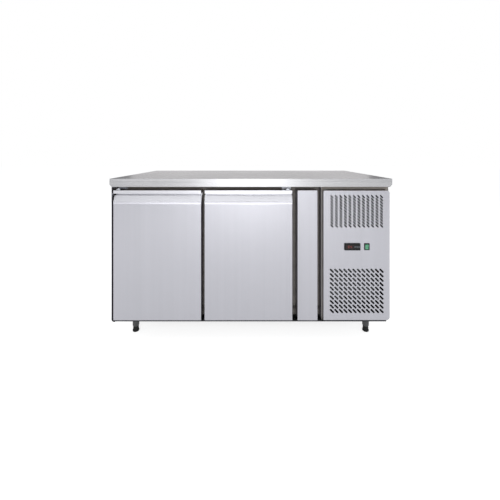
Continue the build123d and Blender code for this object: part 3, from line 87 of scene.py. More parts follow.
def add(tree, kind, sockets=None, **settings):
    """Add a shader node, set its properties, and give each socket a value or a link."""
    node = tree.nodes.new("ShaderNode" + kind)
    for name, value in settings.items():
        setattr(node, name, value)
    for name, value in (sockets or {}).items():
        if isinstance(value, bpy.types.NodeSocket):
            tree.links.new(value, node.inputs[name])
        else:
            node.inputs[name].default_value = value
    return node


def new_material(name):
    """An empty material with its tree, shader and Object coordinates."""
    material = bpy.data.materials.new(name)
    material.use_nodes = True
    tree = material.node_tree
    shader = tree.nodes["Principled BSDF"]
    coords = add(tree, "TexCoord").outputs["Object"]
    return material, tree, shader, coords


def vary(tree, pattern, low, high):
    """A number that runs from low to high with a pattern between 0.3 and 0.7."""
    return add(tree, "MapRange", {"Value": pattern, "From Min": 0.3, "From Max": 0.7,
                                  "To Min": low, "To Max": high}).outputs["Result"]


def tint(tree, pattern, dark, light):
    """A colour that runs from dark to light with a pattern between 0.3 and 0.7."""
    factor = vary(tree, pattern, 0.0, 1.0)
    return add(tree, "Mix", {0: factor, 6: dark, 7: light}, data_type="RGBA").outputs[2]


def shade(colour, amount):
    """A colour made lighter or darker by a factor."""
    return [c * amount for c in colour[:3]] + [1.0]


def brushed_steel(name, colour, grain, roughness, edge_tint, contrast):
    """Stainless sheet with a satin grain. grain is the streaks' length in mm along X, Y and Z."""
    material, tree, shader, coords = new_material(name)
    scale = [1 / (length * MM) for length in grain]
    streaks_at = add(tree, "Mapping", {"Vector": coords, "Scale": scale}).outputs["Vector"]
    streaks = add(tree, "TexNoise", {"Vector": streaks_at, "Scale": 1.0, "Detail": 4.0}).outputs["Fac"]
    wide_at = add(tree, "Mapping", {"Vector": coords, "Scale": [s * 0.12 for s in scale]}).outputs["Vector"]
    bands = add(tree, "TexNoise", {"Vector": wide_at, "Scale": 1.0, "Detail": 2.0}).outputs["Fac"]
    clouds = add(tree, "TexNoise", {"Vector": coords, "Scale": 3.0, "Detail": 2.0}).outputs["Fac"]
    both = add(tree, "Math", {0: streaks, 1: bands}, operation="ADD").outputs[0]
    half = add(tree, "Math", {0: both, 1: 0.5}, operation="MULTIPLY").outputs[0]
    colour_out = tint(tree, half, shade(colour, 1 - contrast), shade(colour, 1 + contrast))
    rough_streaks = vary(tree, streaks, roughness - 0.04, roughness + 0.04)
    rough_clouds = vary(tree, clouds, -0.02, 0.02)
    rough = add(tree, "Math", {0: rough_streaks, 1: rough_clouds}, operation="ADD").outputs[0]
    bump = add(tree, "Bump", {"Strength": 0.12, "Distance": 0.02 * MM, "Height": streaks})
    tree.links.new(colour_out, shader.inputs["Base Color"])
    tree.links.new(rough, shader.inputs["Roughness"])
    tree.links.new(bump.outputs["Normal"], shader.inputs["Normal"])
    shader.inputs["Metallic"].default_value = 1.0
    shader.inputs["Specular Tint"].default_value = edge_tint
    return material


def plain_metal(name, colour, roughness, spot, contrast):
    """Rolled, drawn or plated metal: soft cloudy spots, spot mm across, and no grain."""
    material, tree, shader, coords = new_material(name)
    clouds = add(tree, "TexNoise", {"Vector": coords, "Scale": 1 / (spot * MM), "Detail": 3.0}).outputs["Fac"]
    fine = add(tree, "TexNoise", {"Vector": coords, "Scale": 6 / (spot * MM), "Detail": 2.0}).outputs["Fac"]
    colour_out = tint(tree, clouds, shade(colour, 1 - contrast), shade(colour, 1 + contrast))
    bump = add(tree, "Bump", {"Strength": 0.15, "Distance": 0.05 * MM, "Height": fine})
    tree.links.new(colour_out, shader.inputs["Base Color"])
    tree.links.new(vary(tree, fine, roughness - 0.05, roughness + 0.05), shader.inputs["Roughness"])
    tree.links.new(bump.outputs["Normal"], shader.inputs["Normal"])
    shader.inputs["Metallic"].default_value = 1.0
    return material


def moulded(name, colour, roughness, grit, depth, coat=0.0, gloss=0.5):
    """A moulded plastic, rubber or paint. grit is the texture's size and depth its height, in mm."""
    material, tree, shader, coords = new_material(name)
    fine = add(tree, "TexNoise", {"Vector": coords, "Scale": 1 / (grit * MM), "Detail": 3.0}).outputs["Fac"]
    clouds = add(tree, "TexNoise", {"Vector": coords, "Scale": 0.05 / (grit * MM),
                                    "Detail": 2.0}).outputs["Fac"]
    colour_out = tint(tree, clouds, shade(colour, 0.88), shade(colour, 1.12))
    bump = add(tree, "Bump", {"Strength": 0.5, "Distance": depth * MM, "Height": fine})
    tree.links.new(colour_out, shader.inputs["Base Color"])
    tree.links.new(vary(tree, fine, roughness - 0.06, roughness + 0.06), shader.inputs["Roughness"])
    tree.links.new(bump.outputs["Normal"], shader.inputs["Normal"])
    shader.inputs["IOR"].default_value = 1.5
    shader.inputs["Specular IOR Level"].default_value = gloss
    shader.inputs["Coat Weight"].default_value = coat
    return material


def cellular(name, dark, light, cell, depth, roughness):
    """Foam or pressed chips: small cells, cell mm across, between two tones."""
    material, tree, shader, coords = new_material(name)
    cells = add(tree, "TexVoronoi", {"Vector": coords, "Scale": 1 / (cell * MM)})
    clouds = add(tree, "TexNoise", {"Vector": coords, "Scale": 0.2 / (cell * MM),
                                    "Detail": 3.0}).outputs["Fac"]
    mixed = add(tree, "Math", {0: cells.outputs["Distance"], 1: clouds}, operation="MULTIPLY").outputs[0]
    spread = add(tree, "MapRange", {"Value": mixed, "From Min": 0.05, "From Max": 0.4}).outputs["Result"]
    colour_out = add(tree, "Mix", {0: spread, 6: dark, 7: light}, data_type="RGBA").outputs[2]
    bump = add(tree, "Bump", {"Strength": 0.5, "Distance": depth * MM, "Height": cells.outputs["Distance"]})
    tree.links.new(colour_out, shader.inputs["Base Color"])
    tree.links.new(bump.outputs["Normal"], shader.inputs["Normal"])
    shader.inputs["Roughness"].default_value = roughness
    return material


def glowing(name, colour, strength, roughness, patch):
    """A lit plastic lens: its light is a little uneven, in soft patches patch mm across."""
    material, tree, shader, coords = new_material(name)
    fine = add(tree, "TexNoise", {"Vector": coords, "Scale": 1 / (patch * MM), "Detail": 2.0}).outputs["Fac"]
    colour_out = tint(tree, fine, shade(colour, 0.8), shade(colour, 1.15))
    tree.links.new(colour_out, shader.inputs["Base Color"])
    tree.links.new(colour_out, shader.inputs["Emission Color"])
    tree.links.new(vary(tree, fine, roughness - 0.05, roughness + 0.05), shader.inputs["Roughness"])
    shader.inputs["Emission Strength"].default_value = strength
    return material


# ---- Settings ----

def colour_setting(name, description, code):
    """A colour that the user can change."""
    return bpy.props.FloatVectorProperty(name=name, description=description, subtype="COLOR", size=4,
                                         min=0.0, max=1.0, default=linear(code))


def size_setting(name, description, millimetres):
    """A length that the user can change."""
    return bpy.props.FloatProperty(name=name, description=description, unit="LENGTH",
                                   min=0.0, default=millimetres * MM)


class REFRIGERATOR_PG_finish(bpy.types.PropertyGroup):
    """Colours of the finishes that a user would change"""
    worktop: colour_setting("Worktop steel", "Colour of the brushed worktop", "ABABAD")
    front: colour_setting("Front steel", "Colour of the doors, pillar cover and machine panel", "A8A8AE")
    # The pull's default colour is lighter than the front's as a painted highlight.
    pull: colour_setting("Pull steel", "Colour of the folded door pulls", "BDBDC2")
    casing: colour_setting("Casing steel", "Colour of the sides and back", "A6A6AA")
    # The frame's default colour is darkened as painted shade for the gaps round the doors.
    frame: colour_setting("Front frame", "Colour of the coated frame behind the doors", "716D69")
    reading: colour_setting("Reading", "Colour of the lit digits", "7A211C")
    rocker: colour_setting("Power rocker", "Colour of the lit rocker", "3F7A5C")


class REFRIGERATOR_PG_sheet(bpy.types.PropertyGroup):
    """Sizes of the sheet-metal and seal details"""
    bend: size_setting("Bend", "Radius of the worktop's folded edges", 1.4)
    edge: size_setting("Edge", "Rounding of cut and folded sheet edges", 0.4)
    rim: size_setting("Slot rim", "Rounding of the pressed slots' rims", 0.3)
    hood: size_setting("Louvre hood", "How far a rear louvre stands out", 5.0)


class REFRIGERATOR_PG_feet(bpy.types.PropertyGroup):
    """Sizes of the adjustable feet"""
    ribs: bpy.props.IntProperty(name="Ribs", description="Grip ribs round each leg sleeve", min=3, default=16)
    rib: size_setting("Rib", "Width of a grip rib", 2.2)
    thread: size_setting("Thread pitch", "Pitch of the thread on a foot's stem", 2.0)


class REFRIGERATOR_PG_cooling(bpy.types.PropertyGroup):
    """Sizes of the fans and the condenser"""
    blades: bpy.props.IntProperty(name="Blades", description="Blades on each fan", min=3, default=5)
    fin_pitch: size_setting("Fin pitch", "Distance between two condenser fins", 3.0)


# ---- Pieces ----

def new_piece(name, mesh, body, slot, replaced=(), material=None):
    """Turn a finished bmesh into an object that rides on a body and takes a slot's finish."""
    data = bpy.data.meshes.new(name)
    mesh.to_mesh(data)
    mesh.free()
    if "custom_normal" in data.attributes:
        data.attributes.remove(data.attributes["custom_normal"])
    data.shade_smooth()
    data.set_sharp_from_angle(angle=SHADE_ANGLE)
    piece = bpy.data.objects.new(name, data)
    bpy.context.scene.collection.objects.link(piece)
    data.materials.clear()
    data.materials.append(material or bpy.data.materials[FINISH_OF[slot]])
    # Large flat faces keep their own normal, so that they don't look pillowed at rounded edges.
    even = piece.modifiers.new("flat_faces", "WEIGHTED_NORMAL")
    even.weight = 100
    even.keep_sharp = True
    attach(piece, body)
    if replaced:
        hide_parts(*replaced)
    return piece


def cad_mesh(node):
    """A bmesh copy of a CAD node, its triangles welded and its flat faces joined."""
    mesh = bmesh.new()
    mesh.from_mesh(frame["nodes"][node].data)
    bmesh.ops.remove_doubles(mesh, verts=mesh.verts, dist=WELD)
    bmesh.ops.dissolve_limit(mesh, angle_limit=FLAT_ANGLE, verts=mesh.verts, edges=mesh.edges)
    return mesh


def soften(mesh, radius, segments=2, skip=None):
    """Round a mesh's sharp edges, leaving out those whose middle skip() picks."""
    edges = []
    for edge in mesh.edges:
        if len(edge.link_faces) == 2 and edge.calc_face_angle(0) > SHARP_ANGLE:
            if skip is None or not skip((edge.verts[0].co + edge.verts[1].co) / 2):
                edges.append(edge)
    bmesh.ops.bevel(mesh, geom=edges, offset=radius, offset_type="OFFSET", segments=segments, profile=0.5,
                    affect="EDGES", clamp_overlap=True, material=-1)


def slot_of(node):
    """The finish slot that the record gives a CAD node."""
    return frame["nodes"][node].data.materials[0].name.split(".")[0]


def finish_node(node, radius, segments=2, skip=None):
    """Replace a CAD node with its own welded shape, sharp edges softened."""
    mesh = cad_mesh(node)
    soften(mesh, radius, segments, skip)
    return new_piece(node + "_finished", mesh, BODY_OF[node], SLOT_OF[node], [node])


def add_block(mesh, low, high):
    """Add a closed block between two corners."""
    low, high = Vector(low), Vector(high)
    place = Matrix.Translation((low + high) / 2) @ Matrix.Diagonal((*(high - low), 1))
    return bmesh.ops.create_cube(mesh, size=1, matrix=place)["verts"]


def add_rod(mesh, start, end, radius, sides=12):
    """Add a closed round rod between two points."""
    along = Vector(end) - Vector(start)
    turn = along.to_track_quat("Z", "Y").to_matrix().to_4x4()
    place = Matrix.Translation((Vector(start) + Vector(end)) / 2) @ turn
    bmesh.ops.create_cone(mesh, cap_ends=True, segments=sides, radius1=radius, radius2=radius,
                          depth=along.length, matrix=place)


def join(mesh, part):
    """Move a finished part's faces into a mesh."""
    data = bpy.data.meshes.new("part")
    part.to_mesh(data)
    part.free()
    mesh.from_mesh(data)
    bpy.data.meshes.remove(data)


def add_turned(mesh, outline, centre, axis, steps=32):
    """Add a closed turned shape. outline holds (radius, place along the axis) from pole to pole."""
    part = bmesh.new()
    verts = [part.verts.new((radius, 0, along)) for radius, along in outline]
    edges = [part.edges.new(pair) for pair in zip(verts, verts[1:])]
    bmesh.ops.spin(part, geom=verts + edges, cent=(0, 0, 0), axis=(0, 0, 1), angle=math.tau,
                   steps=steps, use_merge=True)
    bmesh.ops.remove_doubles(part, verts=part.verts, dist=0.001 * MM)
    bmesh.ops.recalc_face_normals(part, faces=part.faces)
    turn = Vector(axis).to_track_quat("Z", "Y").to_matrix().to_4x4()
    bmesh.ops.transform(part, matrix=Matrix.Translation(centre) @ turn, verts=part.verts)
    join(mesh, part)


def add_ring(mesh, low, high, section):
    """Add a mitred ring round a front opening. section holds closed (inset, y) points."""
    part = bmesh.new()
    loops = []
    for inset, y in section:
        places = [(low.x + inset, low.z + inset), (high.x - inset, low.z + inset),
                  (high.x - inset, high.z - inset), (low.x + inset, high.z - inset)]
        verts = [part.verts.new((x, y, z)) for x, z in places]
        loops.append([part.edges.new((verts[i], verts[i - 1])) for i in range(len(verts))])
    for near, far in zip(loops, loops[1:] + loops[:1]):
        bmesh.ops.bridge_loops(part, edges=near + far)
    bmesh.ops.recalc_face_normals(part, faces=part.faces)
    join(mesh, part)


def separate_solids(node):
    """The vertex places of each loose solid in a CAD node."""
    mesh = cad_mesh(node)
    left = set(mesh.verts)
    solids = []
    while left:
        stack = [left.pop()]
        places = []
        while stack:
            vert = stack.pop()
            places.append(vert.co.copy())
            for edge in vert.link_edges:
                other = edge.other_vert(vert)
                if other in left:
                    left.remove(other)
                    stack.append(other)
        solids.append(places)
    mesh.free()
    return solids


def corners_of(places):
    """The lowest and highest corners of a list of places."""
    low = Vector([min(place[i] for place in places) for i in range(3)])
    high = Vector([max(place[i] for place in places) for i in range(3)])
    return low, high


# ---- Finishes ----

# How light a steel's reflections are where it is seen edge on: below white, as on a satin sheet.
TOP_EDGE_TINT = [0.62, 0.60, 0.60, 1.0]
EDGE_TINT = [0.75, 0.75, 0.77, 1.0]


def worktop_steel():
    # Brushed 304 stainless, polished along its length: pale, with fine streaks side to side. The
    # real grain is 0.1 mm wide and is drawn 3 mm wide so that it shows.
    colour = bpy.context.scene.refrigerator_finish.worktop
    return brushed_steel("Brushed stainless worktop", colour, (300, 3, 3), 0.26, TOP_EDGE_TINT, 0.05)


def front_steel():
    # Brushed 430 stainless on the doors, grain upright: an even satin grey. The real grain is
    # 0.1 mm wide and is drawn 3 mm wide so that it shows.
    colour = bpy.context.scene.refrigerator_finish.front
    return brushed_steel("Brushed stainless front", colour, (3, 3, 400), 0.34, EDGE_TINT, 0.03)


def pull_steel():
    # The pull is folded from the same sheet, its grain side to side. Its tone is lighter than the door's as a
    # painted highlight on the pull.
    colour = bpy.context.scene.refrigerator_finish.pull
    return brushed_steel("Brushed stainless pull with painted highlight", colour, (300, 3, 3), 0.30, EDGE_TINT, 0.03)


def casing_steel():
    # Rolled stainless on the sides, base and back: a little duller, grain upright.
    colour = bpy.context.scene.refrigerator_finish.casing
    return brushed_steel("Satin stainless casing", colour, (4, 4, 400), 0.38, EDGE_TINT, 0.04)


def liner_steel():
    # Mill-finish stainless inside: grey and cloudy, with no brushing.
    return plain_metal("Mill finish stainless liner", linear("B9BABD"), 0.36, 60, 0.04)


def make_finishes():
    """Make every finish once. Returns the material of each slot."""
    chosen = bpy.context.scene.refrigerator_finish
    return {
        "worktop_steel": worktop_steel(),
        "front_steel": front_steel(),
        "pull_steel": pull_steel(),
        "casing_steel": casing_steel(),
        "liner_steel": liner_steel(),
        # Galvanised floor sheet with soft spangle. Its dark, dull grey is painted shade: the deep shade under
        # the doors is set into its colour.
        "base_steel": plain_metal("Galvanised steel base in painted shade", linear("37383A"), 0.6, 14, 0.15),
        # Baked grey coating on the cabinet's front frame, even and matt. Its dark tone is partly the
        # coating's own grey and partly painted shade for the gaps round the doors.
        "frame_coating": moulded("Grey baked coating darkened as painted gap shade", chosen.frame, 0.55, 1.0, 0.02, gloss=0.35),
        # Zinc-plated steel: bluish grey, slightly mottled.
        "hinge_steel": plain_metal("Zinc plated steel", linear("A9ACB2"), 0.3, 6, 0.06),
        # Milled and stamped aluminium: light and matt.
        "coil_aluminium": plain_metal("Mill finish aluminium", linear("C4C7CA"), 0.4, 12, 0.05),
        # Galvanised motor shell: mid grey, mottled by its zinc.
        "motor_metal": plain_metal("Galvanised motor steel", linear("8E9196"), 0.42, 9, 0.1),
        # Drawn copper, dulled by handling.
        "copper_tube": plain_metal("Drawn copper tube", linear("B87953"), 0.32, 8, 0.12),
        # Chromed wire: bright, with a faint ripple.
        "shelf_wire": plain_metal("Chromed steel wire", linear("CDCFD2"), 0.2, 20, 0.04),
        # Moulded nylon with glass fibre: black and satin, with a fine tooth.
        "fan_blade": moulded("Black glass-filled nylon blade", linear("26272A"), 0.45, 0.6, 0.02),
        # Black stoved enamel over a drawn shell: glossy, with a slight orange peel.
        "compressor_paint": moulded("Black stoved enamel", linear("1B1C1E"), 0.3, 3.0, 0.05, 0.4),
        # Moulded rubber: soft black, with no highlight.
        "mount_rubber": moulded("Moulded black rubber mount", linear("232323"), 0.75, 0.8, 0.04),
        "foot_rubber": moulded("Moulded black rubber foot", linear("131413"), 0.7, 1.0, 0.05, gloss=0.2),
        # Moulded nylon: dark grey, with a dull highlight down each rib.
        "leg_plastic": moulded("Moulded grey nylon leg", linear("3B3C3C"), 0.45, 1.2, 0.03, gloss=0.3),
        # Natural nylon: milky white.
        "hinge_nylon": moulded("Moulded white nylon bush", linear("D9D9D4"), 0.4, 1.0, 0.02),
        # Extruded soft vinyl: dark grey, smooth along its folds.
        "gasket_vinyl": moulded("Extruded grey vinyl seal", linear("4A4C50"), 0.5, 1.5, 0.03),
        # Spark-textured ABS: deep black that gives almost no highlight.
        "controller_plastic": moulded("Textured black ABS", linear("0C0C0D"), 0.5, 0.5, 0.02, gloss=0.2),
        # Smoked acrylic: nearly black, with a brown-red cast.
        "display_plastic": moulded("Smoked red acrylic", linear("1A0907"), 0.12, 4.0, 0.002, gloss=0.3),
        # Moulded silicone: a lighter grey than the case, and matt.
        "key_plastic": moulded("Grey silicone key", linear("3A3C40"), 0.55, 0.6, 0.02),
        # Green lens with a lamp behind: pale where the lamp shines through.
        "rocker_green": glowing("Lit green polycarbonate", chosen.rocker, 0.25, 0.25, 6),
        # Extruded PVC pipe: pale grey with a soft shine.
        "drain_plastic": moulded("Extruded grey PVC", linear("9A9C9E"), 0.45, 2.0, 0.02),
        # Moulded ABS: plain mid grey, finely grained.
        "box_plastic": moulded("Moulded grey ABS box", linear("7D8084"), 0.5, 0.8, 0.03),
        # Moulded nylon: black, with a satin highlight on its rim.
        "gland_plastic": moulded("Moulded black nylon gland", linear("202225"), 0.42, 0.8, 0.02),
        # Sprayed polyurethane foam: cream, with fine closed cells.
        "foam": cellular("Cream polyurethane foam", linear("B9A46C"), linear("E2D3A4"), 2.0, 0.3, 0.9),
        # Pressed chipboard: mixed brown chips.
        "worktop_board": cellular("Pressed chipboard", linear("7A5B3A"), linear("B59468"), 3.0, 0.1, 0.85),
    }


SLOT_OF = {node: slot_of(node) for node in frame["nodes"]}
FINISH_OF = {}


class REFRIGERATOR_OT_finishes(bpy.types.Operator):
    """Make every finish and put it on the CAD pieces"""
    bl_idname = "refrigerator.finishes"
    bl_label = "Finishes"

    def execute(self, context):
        for slot, material in make_finishes().items():
            FINISH_OF[slot] = material.name
        for node, obj in frame["nodes"].items():
            obj.material_slots[0].material = bpy.data.materials[FINISH_OF[SLOT_OF[node]]]
        return {"FINISHED"}


# ---- Casing, worktop and doors ----

SHEET_NODES = ["side_panel_left", "side_panel_right", "back_panel", "base_pan", "filler_panel",
               "bay_frame", "bay_wall", "front_frame", "duct_panel", "shelf_supports",
               "electrical_box", "evaporation_pan", "drip_tray", "condenser_shroud", "hinge_brackets"]
DOOR_SIDES = ["left", "right"]


class REFRIGERATOR_OT_worktop(bpy.types.Operator):
    """Fold the worktop's sheet with rounded bends"""
    bl_idname = "refrigerator.worktop"
    bl_label = "Worktop"

    def execute(self, context):
        finish_node("worktop_shell", context.scene.refrigerator_sheet.bend, 3)
        return {"FINISHED"}


class REFRIGERATOR_OT_casing(bpy.types.Operator):
    """Break the sharp edges of every sheet-metal piece of the cabinet"""
    bl_idname = "refrigerator.casing"
    bl_label = "Casing"

    def execute(self, context):
        for node in SHEET_NODES:
            finish_node(node, context.scene.refrigerator_sheet.edge, 2)
        return {"FINISHED"}


class REFRIGERATOR_OT_machine_panel(bpy.types.Operator):
    """Round the rims of the machine panel's pressed slots and its folded edges"""
    bl_idname = "refrigerator.machine_panel"
    bl_label = "Machine panel"

    def execute(self, context):
        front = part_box("machine_panel")[0].y
        finish_node("machine_panel", context.scene.refrigerator_sheet.rim, 2,
                    lambda place: place.y > front + 0.1 * MM)
        return {"FINISHED"}


class REFRIGERATOR_OT_doors(bpy.types.Operator):
    """Round the doors' sheet edges and extrude their bellows seals"""
    bl_idname = "refrigerator.doors"
    bl_label = "Doors"

    def execute(self, context):
        edge = context.scene.refrigerator_sheet.edge
        for side in DOOR_SIDES:
            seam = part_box(side + "_door_pull")[0].z
            for part in ("skin", "pull"):
                finish_node(f"{side}_door_{part}", edge, 2, lambda place: abs(place.z - seam) < 0.05 * MM)
            finish_node(side + "_door_liner", edge, 2)
            make_gasket(side + "_door_gasket")
        return {"FINISHED"}


GASKET_WIDTH = 13 * MM
# The seal's section from its foot on the door round to the foot again, as shares of width and depth.
GASKET_SECTION = [(0.0, 0.0), (0.0, 0.16), (0.22, 0.24), (0.1, 0.38), (0.22, 0.52), (0.04, 0.64),
                  (0.02, 0.9), (0.1, 1.0), (0.74, 1.0), (0.82, 0.9), (0.8, 0.64), (0.62, 0.52),
                  (0.74, 0.38), (0.62, 0.24), (1.0, 0.14), (1.0, 0.0)]


def make_gasket(node):
    """A bellows seal: a flat foot on the door, two folds and a soft magnet lobe against the frame."""
    low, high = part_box(node)
    depth = high.y - low.y
    section = [(across * GASKET_WIDTH, low.y + deep * depth) for across, deep in GASKET_SECTION]
    mesh = bmesh.new()
    add_ring(mesh, low, high, section)
    new_piece(node + "_bellows", mesh, BODY_OF[node], SLOT_OF[node], [node])


# ---- Controls ----

# The lit bars of a figure, as (x, z, upright) in half-heights from its middle.
BARS = {"top": (0, 1, False), "middle": (0, 0, False), "bottom": (0, -1, False),
        "upper_left": (-0.5, 0.5, True), "upper_right": (0.5, 0.5, True),
        "lower_left": (-0.5, -0.5, True), "lower_right": (0.5, -0.5, True)}
FIGURES = {"0": ["top", "bottom", "upper_left", "upper_right", "lower_left", "lower_right"],
           "4": ["middle", "upper_left", "upper_right", "lower_right"]}
READING = "04"
FIGURE_HALF = 5.0 * MM
FIGURE_PITCH = 10.5 * MM
BAR_HALF_WIDTH = 0.55 * MM
BAR_HALF_LENGTH = 0.38 * FIGURE_HALF
BAR_FRONT = Vector((0, 0.12 * MM, 0))
BAR_BACK = Vector((0, 0.2 * MM, 0))
CONTROL_EDGE = 0.25 * MM


class REFRIGERATOR_OT_controls(bpy.types.Operator):
    """Put a lit reading behind the controller's window and finish its case, window, switch housing and rocker
    """
    bl_idname = "refrigerator.controls"
    bl_label = "Controls"

    def execute(self, context):
        low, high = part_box("controller_window")
        middle = (low + high) / 2
        mesh = bmesh.new()
        for place, figure in enumerate(READING):
            centre_x = middle.x + (place - 0.5) * FIGURE_PITCH
            for bar in FIGURES[figure]:
                x, z, upright = BARS[bar]
                reach = Vector((BAR_HALF_LENGTH, 0, BAR_HALF_WIDTH))
                if upright:
                    reach = Vector((BAR_HALF_WIDTH, 0, BAR_HALF_LENGTH))
                at = Vector((centre_x + x * FIGURE_HALF, low.y, middle.z + z * FIGURE_HALF))
                add_block(mesh, at - reach - BAR_FRONT, at + reach + BAR_BACK)
        lit = glowing("Lit red segment", context.scene.refrigerator_finish.reading, 0.6, 0.3, 3)
        new_piece("controller_reading", mesh, BODY_OF["controller_window"], SLOT_OF["controller_window"],
                  material=lit)
        for node in ("controller_case", "switch_housing", "switch_rocker", "controller_window"):
            finish_node(node, CONTROL_EDGE, 2)
        return {"FINISHED"}


# ---- Feet and screws ----

SLEEVE_TOP = 16.5 * MM
SLEEVE_BOTTOM = 15.5 * MM
SLEEVE_BORE = 6.4 * MM
PAD_HEIGHT = 27 * MM
STEM_RADIUS = 5.7 * MM
SCREW_HEAD = 2.2 * MM


class REFRIGERATOR_OT_feet(bpy.types.Operator):
    """Turn the leg sleeves, with grip ribs, and the threaded feet"""
    bl_idname = "refrigerator.feet"
    bl_label = "Feet"

    def execute(self, context):
        settings = context.scene.refrigerator_feet
        sleeves = bmesh.new()
        for places in separate_solids("leg_sleeves"):
            low, high = corners_of(places)
            add_sleeve(sleeves, low, high, settings)
        new_piece("leg_sleeves_ribbed", sleeves, BODY_OF["leg_sleeves"], SLOT_OF["leg_sleeves"],
                  ["leg_sleeves"])
        for node in frame["nodes"]:
            if node.startswith("foot_"):
                make_foot(node, settings)
        return {"FINISHED"}


def add_sleeve(mesh, low, high, settings):
    """One leg sleeve: a flange under the base, a tapered barrel and a bore for the stem."""
    middle = (low + high) / 2
    height = high.z - low.z
    flange = (high.x - low.x) / 2
    outline = [(0, height), (flange, height), (flange, height - 7 * MM), (flange - 1 * MM, height - 8 * MM),
               (SLEEVE_TOP, height - 8.5 * MM), (SLEEVE_BOTTOM, 1.2 * MM), (SLEEVE_BOTTOM - 1.2 * MM, 0),
               (SLEEVE_BORE, 0), (SLEEVE_BORE, height - 4 * MM), (0, height - 4 * MM)]
    centre = Vector((middle.x, middle.y, low.z))
    add_turned(mesh, outline, centre, (0, 0, 1))
    for rib in range(settings.ribs):
        turn = rib * math.tau / settings.ribs
        out = Vector((math.cos(turn), math.sin(turn), 0))
        foot = centre + out * (SLEEVE_BOTTOM - 0.4 * MM) + Vector((0, 0, 4 * MM))
        head = centre + out * (SLEEVE_TOP - 0.6 * MM) + Vector((0, 0, height - 11 * MM))
        add_rod(mesh, foot, head, settings.rib / 2, 8)


def make_foot(node, settings):
    """One foot: a rubber pad with a chamfered rim, a waist and a threaded steel stem."""
    low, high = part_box(node)
    middle = (low + high) / 2
    radius = (high.y - low.y) / 2
    pad, stem = PAD_HEIGHT, STEM_RADIUS
    outline = [(0, 0), (radius - 1 * MM, 0), (radius, 1 * MM), (radius, 8 * MM), (radius - 1 * MM, 9 * MM),
               (radius - 2 * MM, 10 * MM), (radius - 2 * MM, pad - 1 * MM), (radius - 3 * MM, pad),
               (stem, pad)]
    turns = int((high.z - pad - 2 * MM) / settings.thread)
    for turn in range(turns):
        start = pad + turn * settings.thread
        outline.append((stem - 0.8 * MM, start + 0.25 * settings.thread))
        outline.append((stem, start + 0.75 * settings.thread))
    outline += [(stem - 1 * MM, high.z), (0, high.z)]
    mesh = bmesh.new()
    add_turned(mesh, outline, (middle.x, middle.y, 0), (0, 0, 1))
    new_piece(node + "_turned", mesh, BODY_OF[node], SLOT_OF[node], [node])


class REFRIGERATOR_OT_screws(bpy.types.Operator):
    """Turn the pan-head screws, with a driver recess in each"""
    bl_idname = "refrigerator.screws"
    bl_label = "Screws"

    def execute(self, context):
        mesh = bmesh.new()
        for places in separate_solids("panel_screws"):
            add_screw(mesh, places)
        new_piece("panel_screws_turned", mesh, BODY_OF["panel_screws"], SLOT_OF["panel_screws"],
                  ["panel_screws"])
        return {"FINISHED"}


def add_screw(mesh, places):
    """One screw where a CAD screw is: its head is at the end where the solid is widest."""
    low, high = corners_of(places)
    size = high - low
    along = max(range(3), key=lambda i: size[i])
    across = (along + 1) % 3
    middle = (low + high) / 2
    near = [place for place in places if place[along] < low[along] + 0.5 * MM]
    head_low = max(abs(place[across] - middle[across]) for place in near) > 0.3 * size[across]
    axis = Vector((0, 0, 0))
    axis[along] = -1.0 if head_low else 1.0
    radius, length = size[across] / 2, size[along]
    start = middle - axis * length / 2
    head, shank = SCREW_HEAD, radius / 2
    outline = [(0, 0), (shank * 0.5, 0), (shank, 1.5 * MM), (shank, length - head), (radius, length - head),
               (radius, length - head * 0.6), (radius * 0.85, length - head * 0.2), (radius * 0.5, length),
               (radius * 0.35, length - head * 0.3), (0, length - head * 0.6)]
    add_turned(mesh, outline, start, axis, 20)


# ---- Cooling ----

HUB_RADIUS = 17 * MM
HUB_HALF = 10 * MM
SHAFT_RADIUS = 3 * MM
BLADE_THICKNESS = 1.4 * MM
BLADE_HALF_CHORD = 13 * MM
BLADE_BULGE = 9 * MM
BLADE_HOLLOW = 1 * MM
BLADE_ROOT_PITCH = math.radians(38)
BLADE_TIP_PITCH = math.radians(22)
FIN_THICKNESS = 0.4 * MM
TUBE_ROWS = 6
TUBE_PITCH = 36 * MM
TUBE_RADIUS = 4.75 * MM
TUBE_LEAD = 7 * MM
LOUVRE_PITCH = 9 * MM
LOUVRE_LENGTHS = (100 * MM, 130 * MM)
HOOD_DROP = 6 * MM
HOOD_SHEET = 0.8 * MM


class REFRIGERATOR_OT_fans(bpy.types.Operator):
    """Build the two fan rotors with twisted blades"""
    bl_idname = "refrigerator.fans"
    bl_label = "Fans"

    def execute(self, context):
        for node in ("evaporator_fan_rotor", "condenser_fan_rotor"):
            make_rotor(node, context.scene.refrigerator_cooling.blades)
        return {"FINISHED"}


def make_rotor(node, blades):
    """A hub with a rounded nose, twisted blades and a shaft, round its joint's axis."""
    joint = next(j for j in frame["record"]["behaviour"]["joints"] if j["child"] == BODY_OF[node])
    centre, axis = Vector(joint["pos_m"]), Vector(joint["axis"])
    places = [vert.co - centre for vert in frame["nodes"][node].data.vertices]
    tip = max(place.cross(axis).length for place in places)
    shaft_end = max(place.dot(axis) for place in places)
    hub, half, shaft = HUB_RADIUS, HUB_HALF, SHAFT_RADIUS
    outline = [(0, -half), (hub - 4 * MM, -half), (hub - 1.2 * MM, -half + 1.2 * MM), (hub, -half + 4 * MM),
               (hub, half), (shaft, half), (shaft, shaft_end), (0, shaft_end)]
    mesh = bmesh.new()
    add_turned(mesh, outline, (0, 0, 0), (0, 0, 1))
    for blade in range(blades):
        add_blade(mesh, hub - 2 * MM, tip, blade * math.tau / blades)
    turn = axis.to_track_quat("Z", "Y").to_matrix().to_4x4()
    bmesh.ops.transform(mesh, matrix=Matrix.Translation(centre) @ turn, verts=mesh.verts)
    new_piece(node + "_moulded", mesh, BODY_OF[node], SLOT_OF[node], [node])


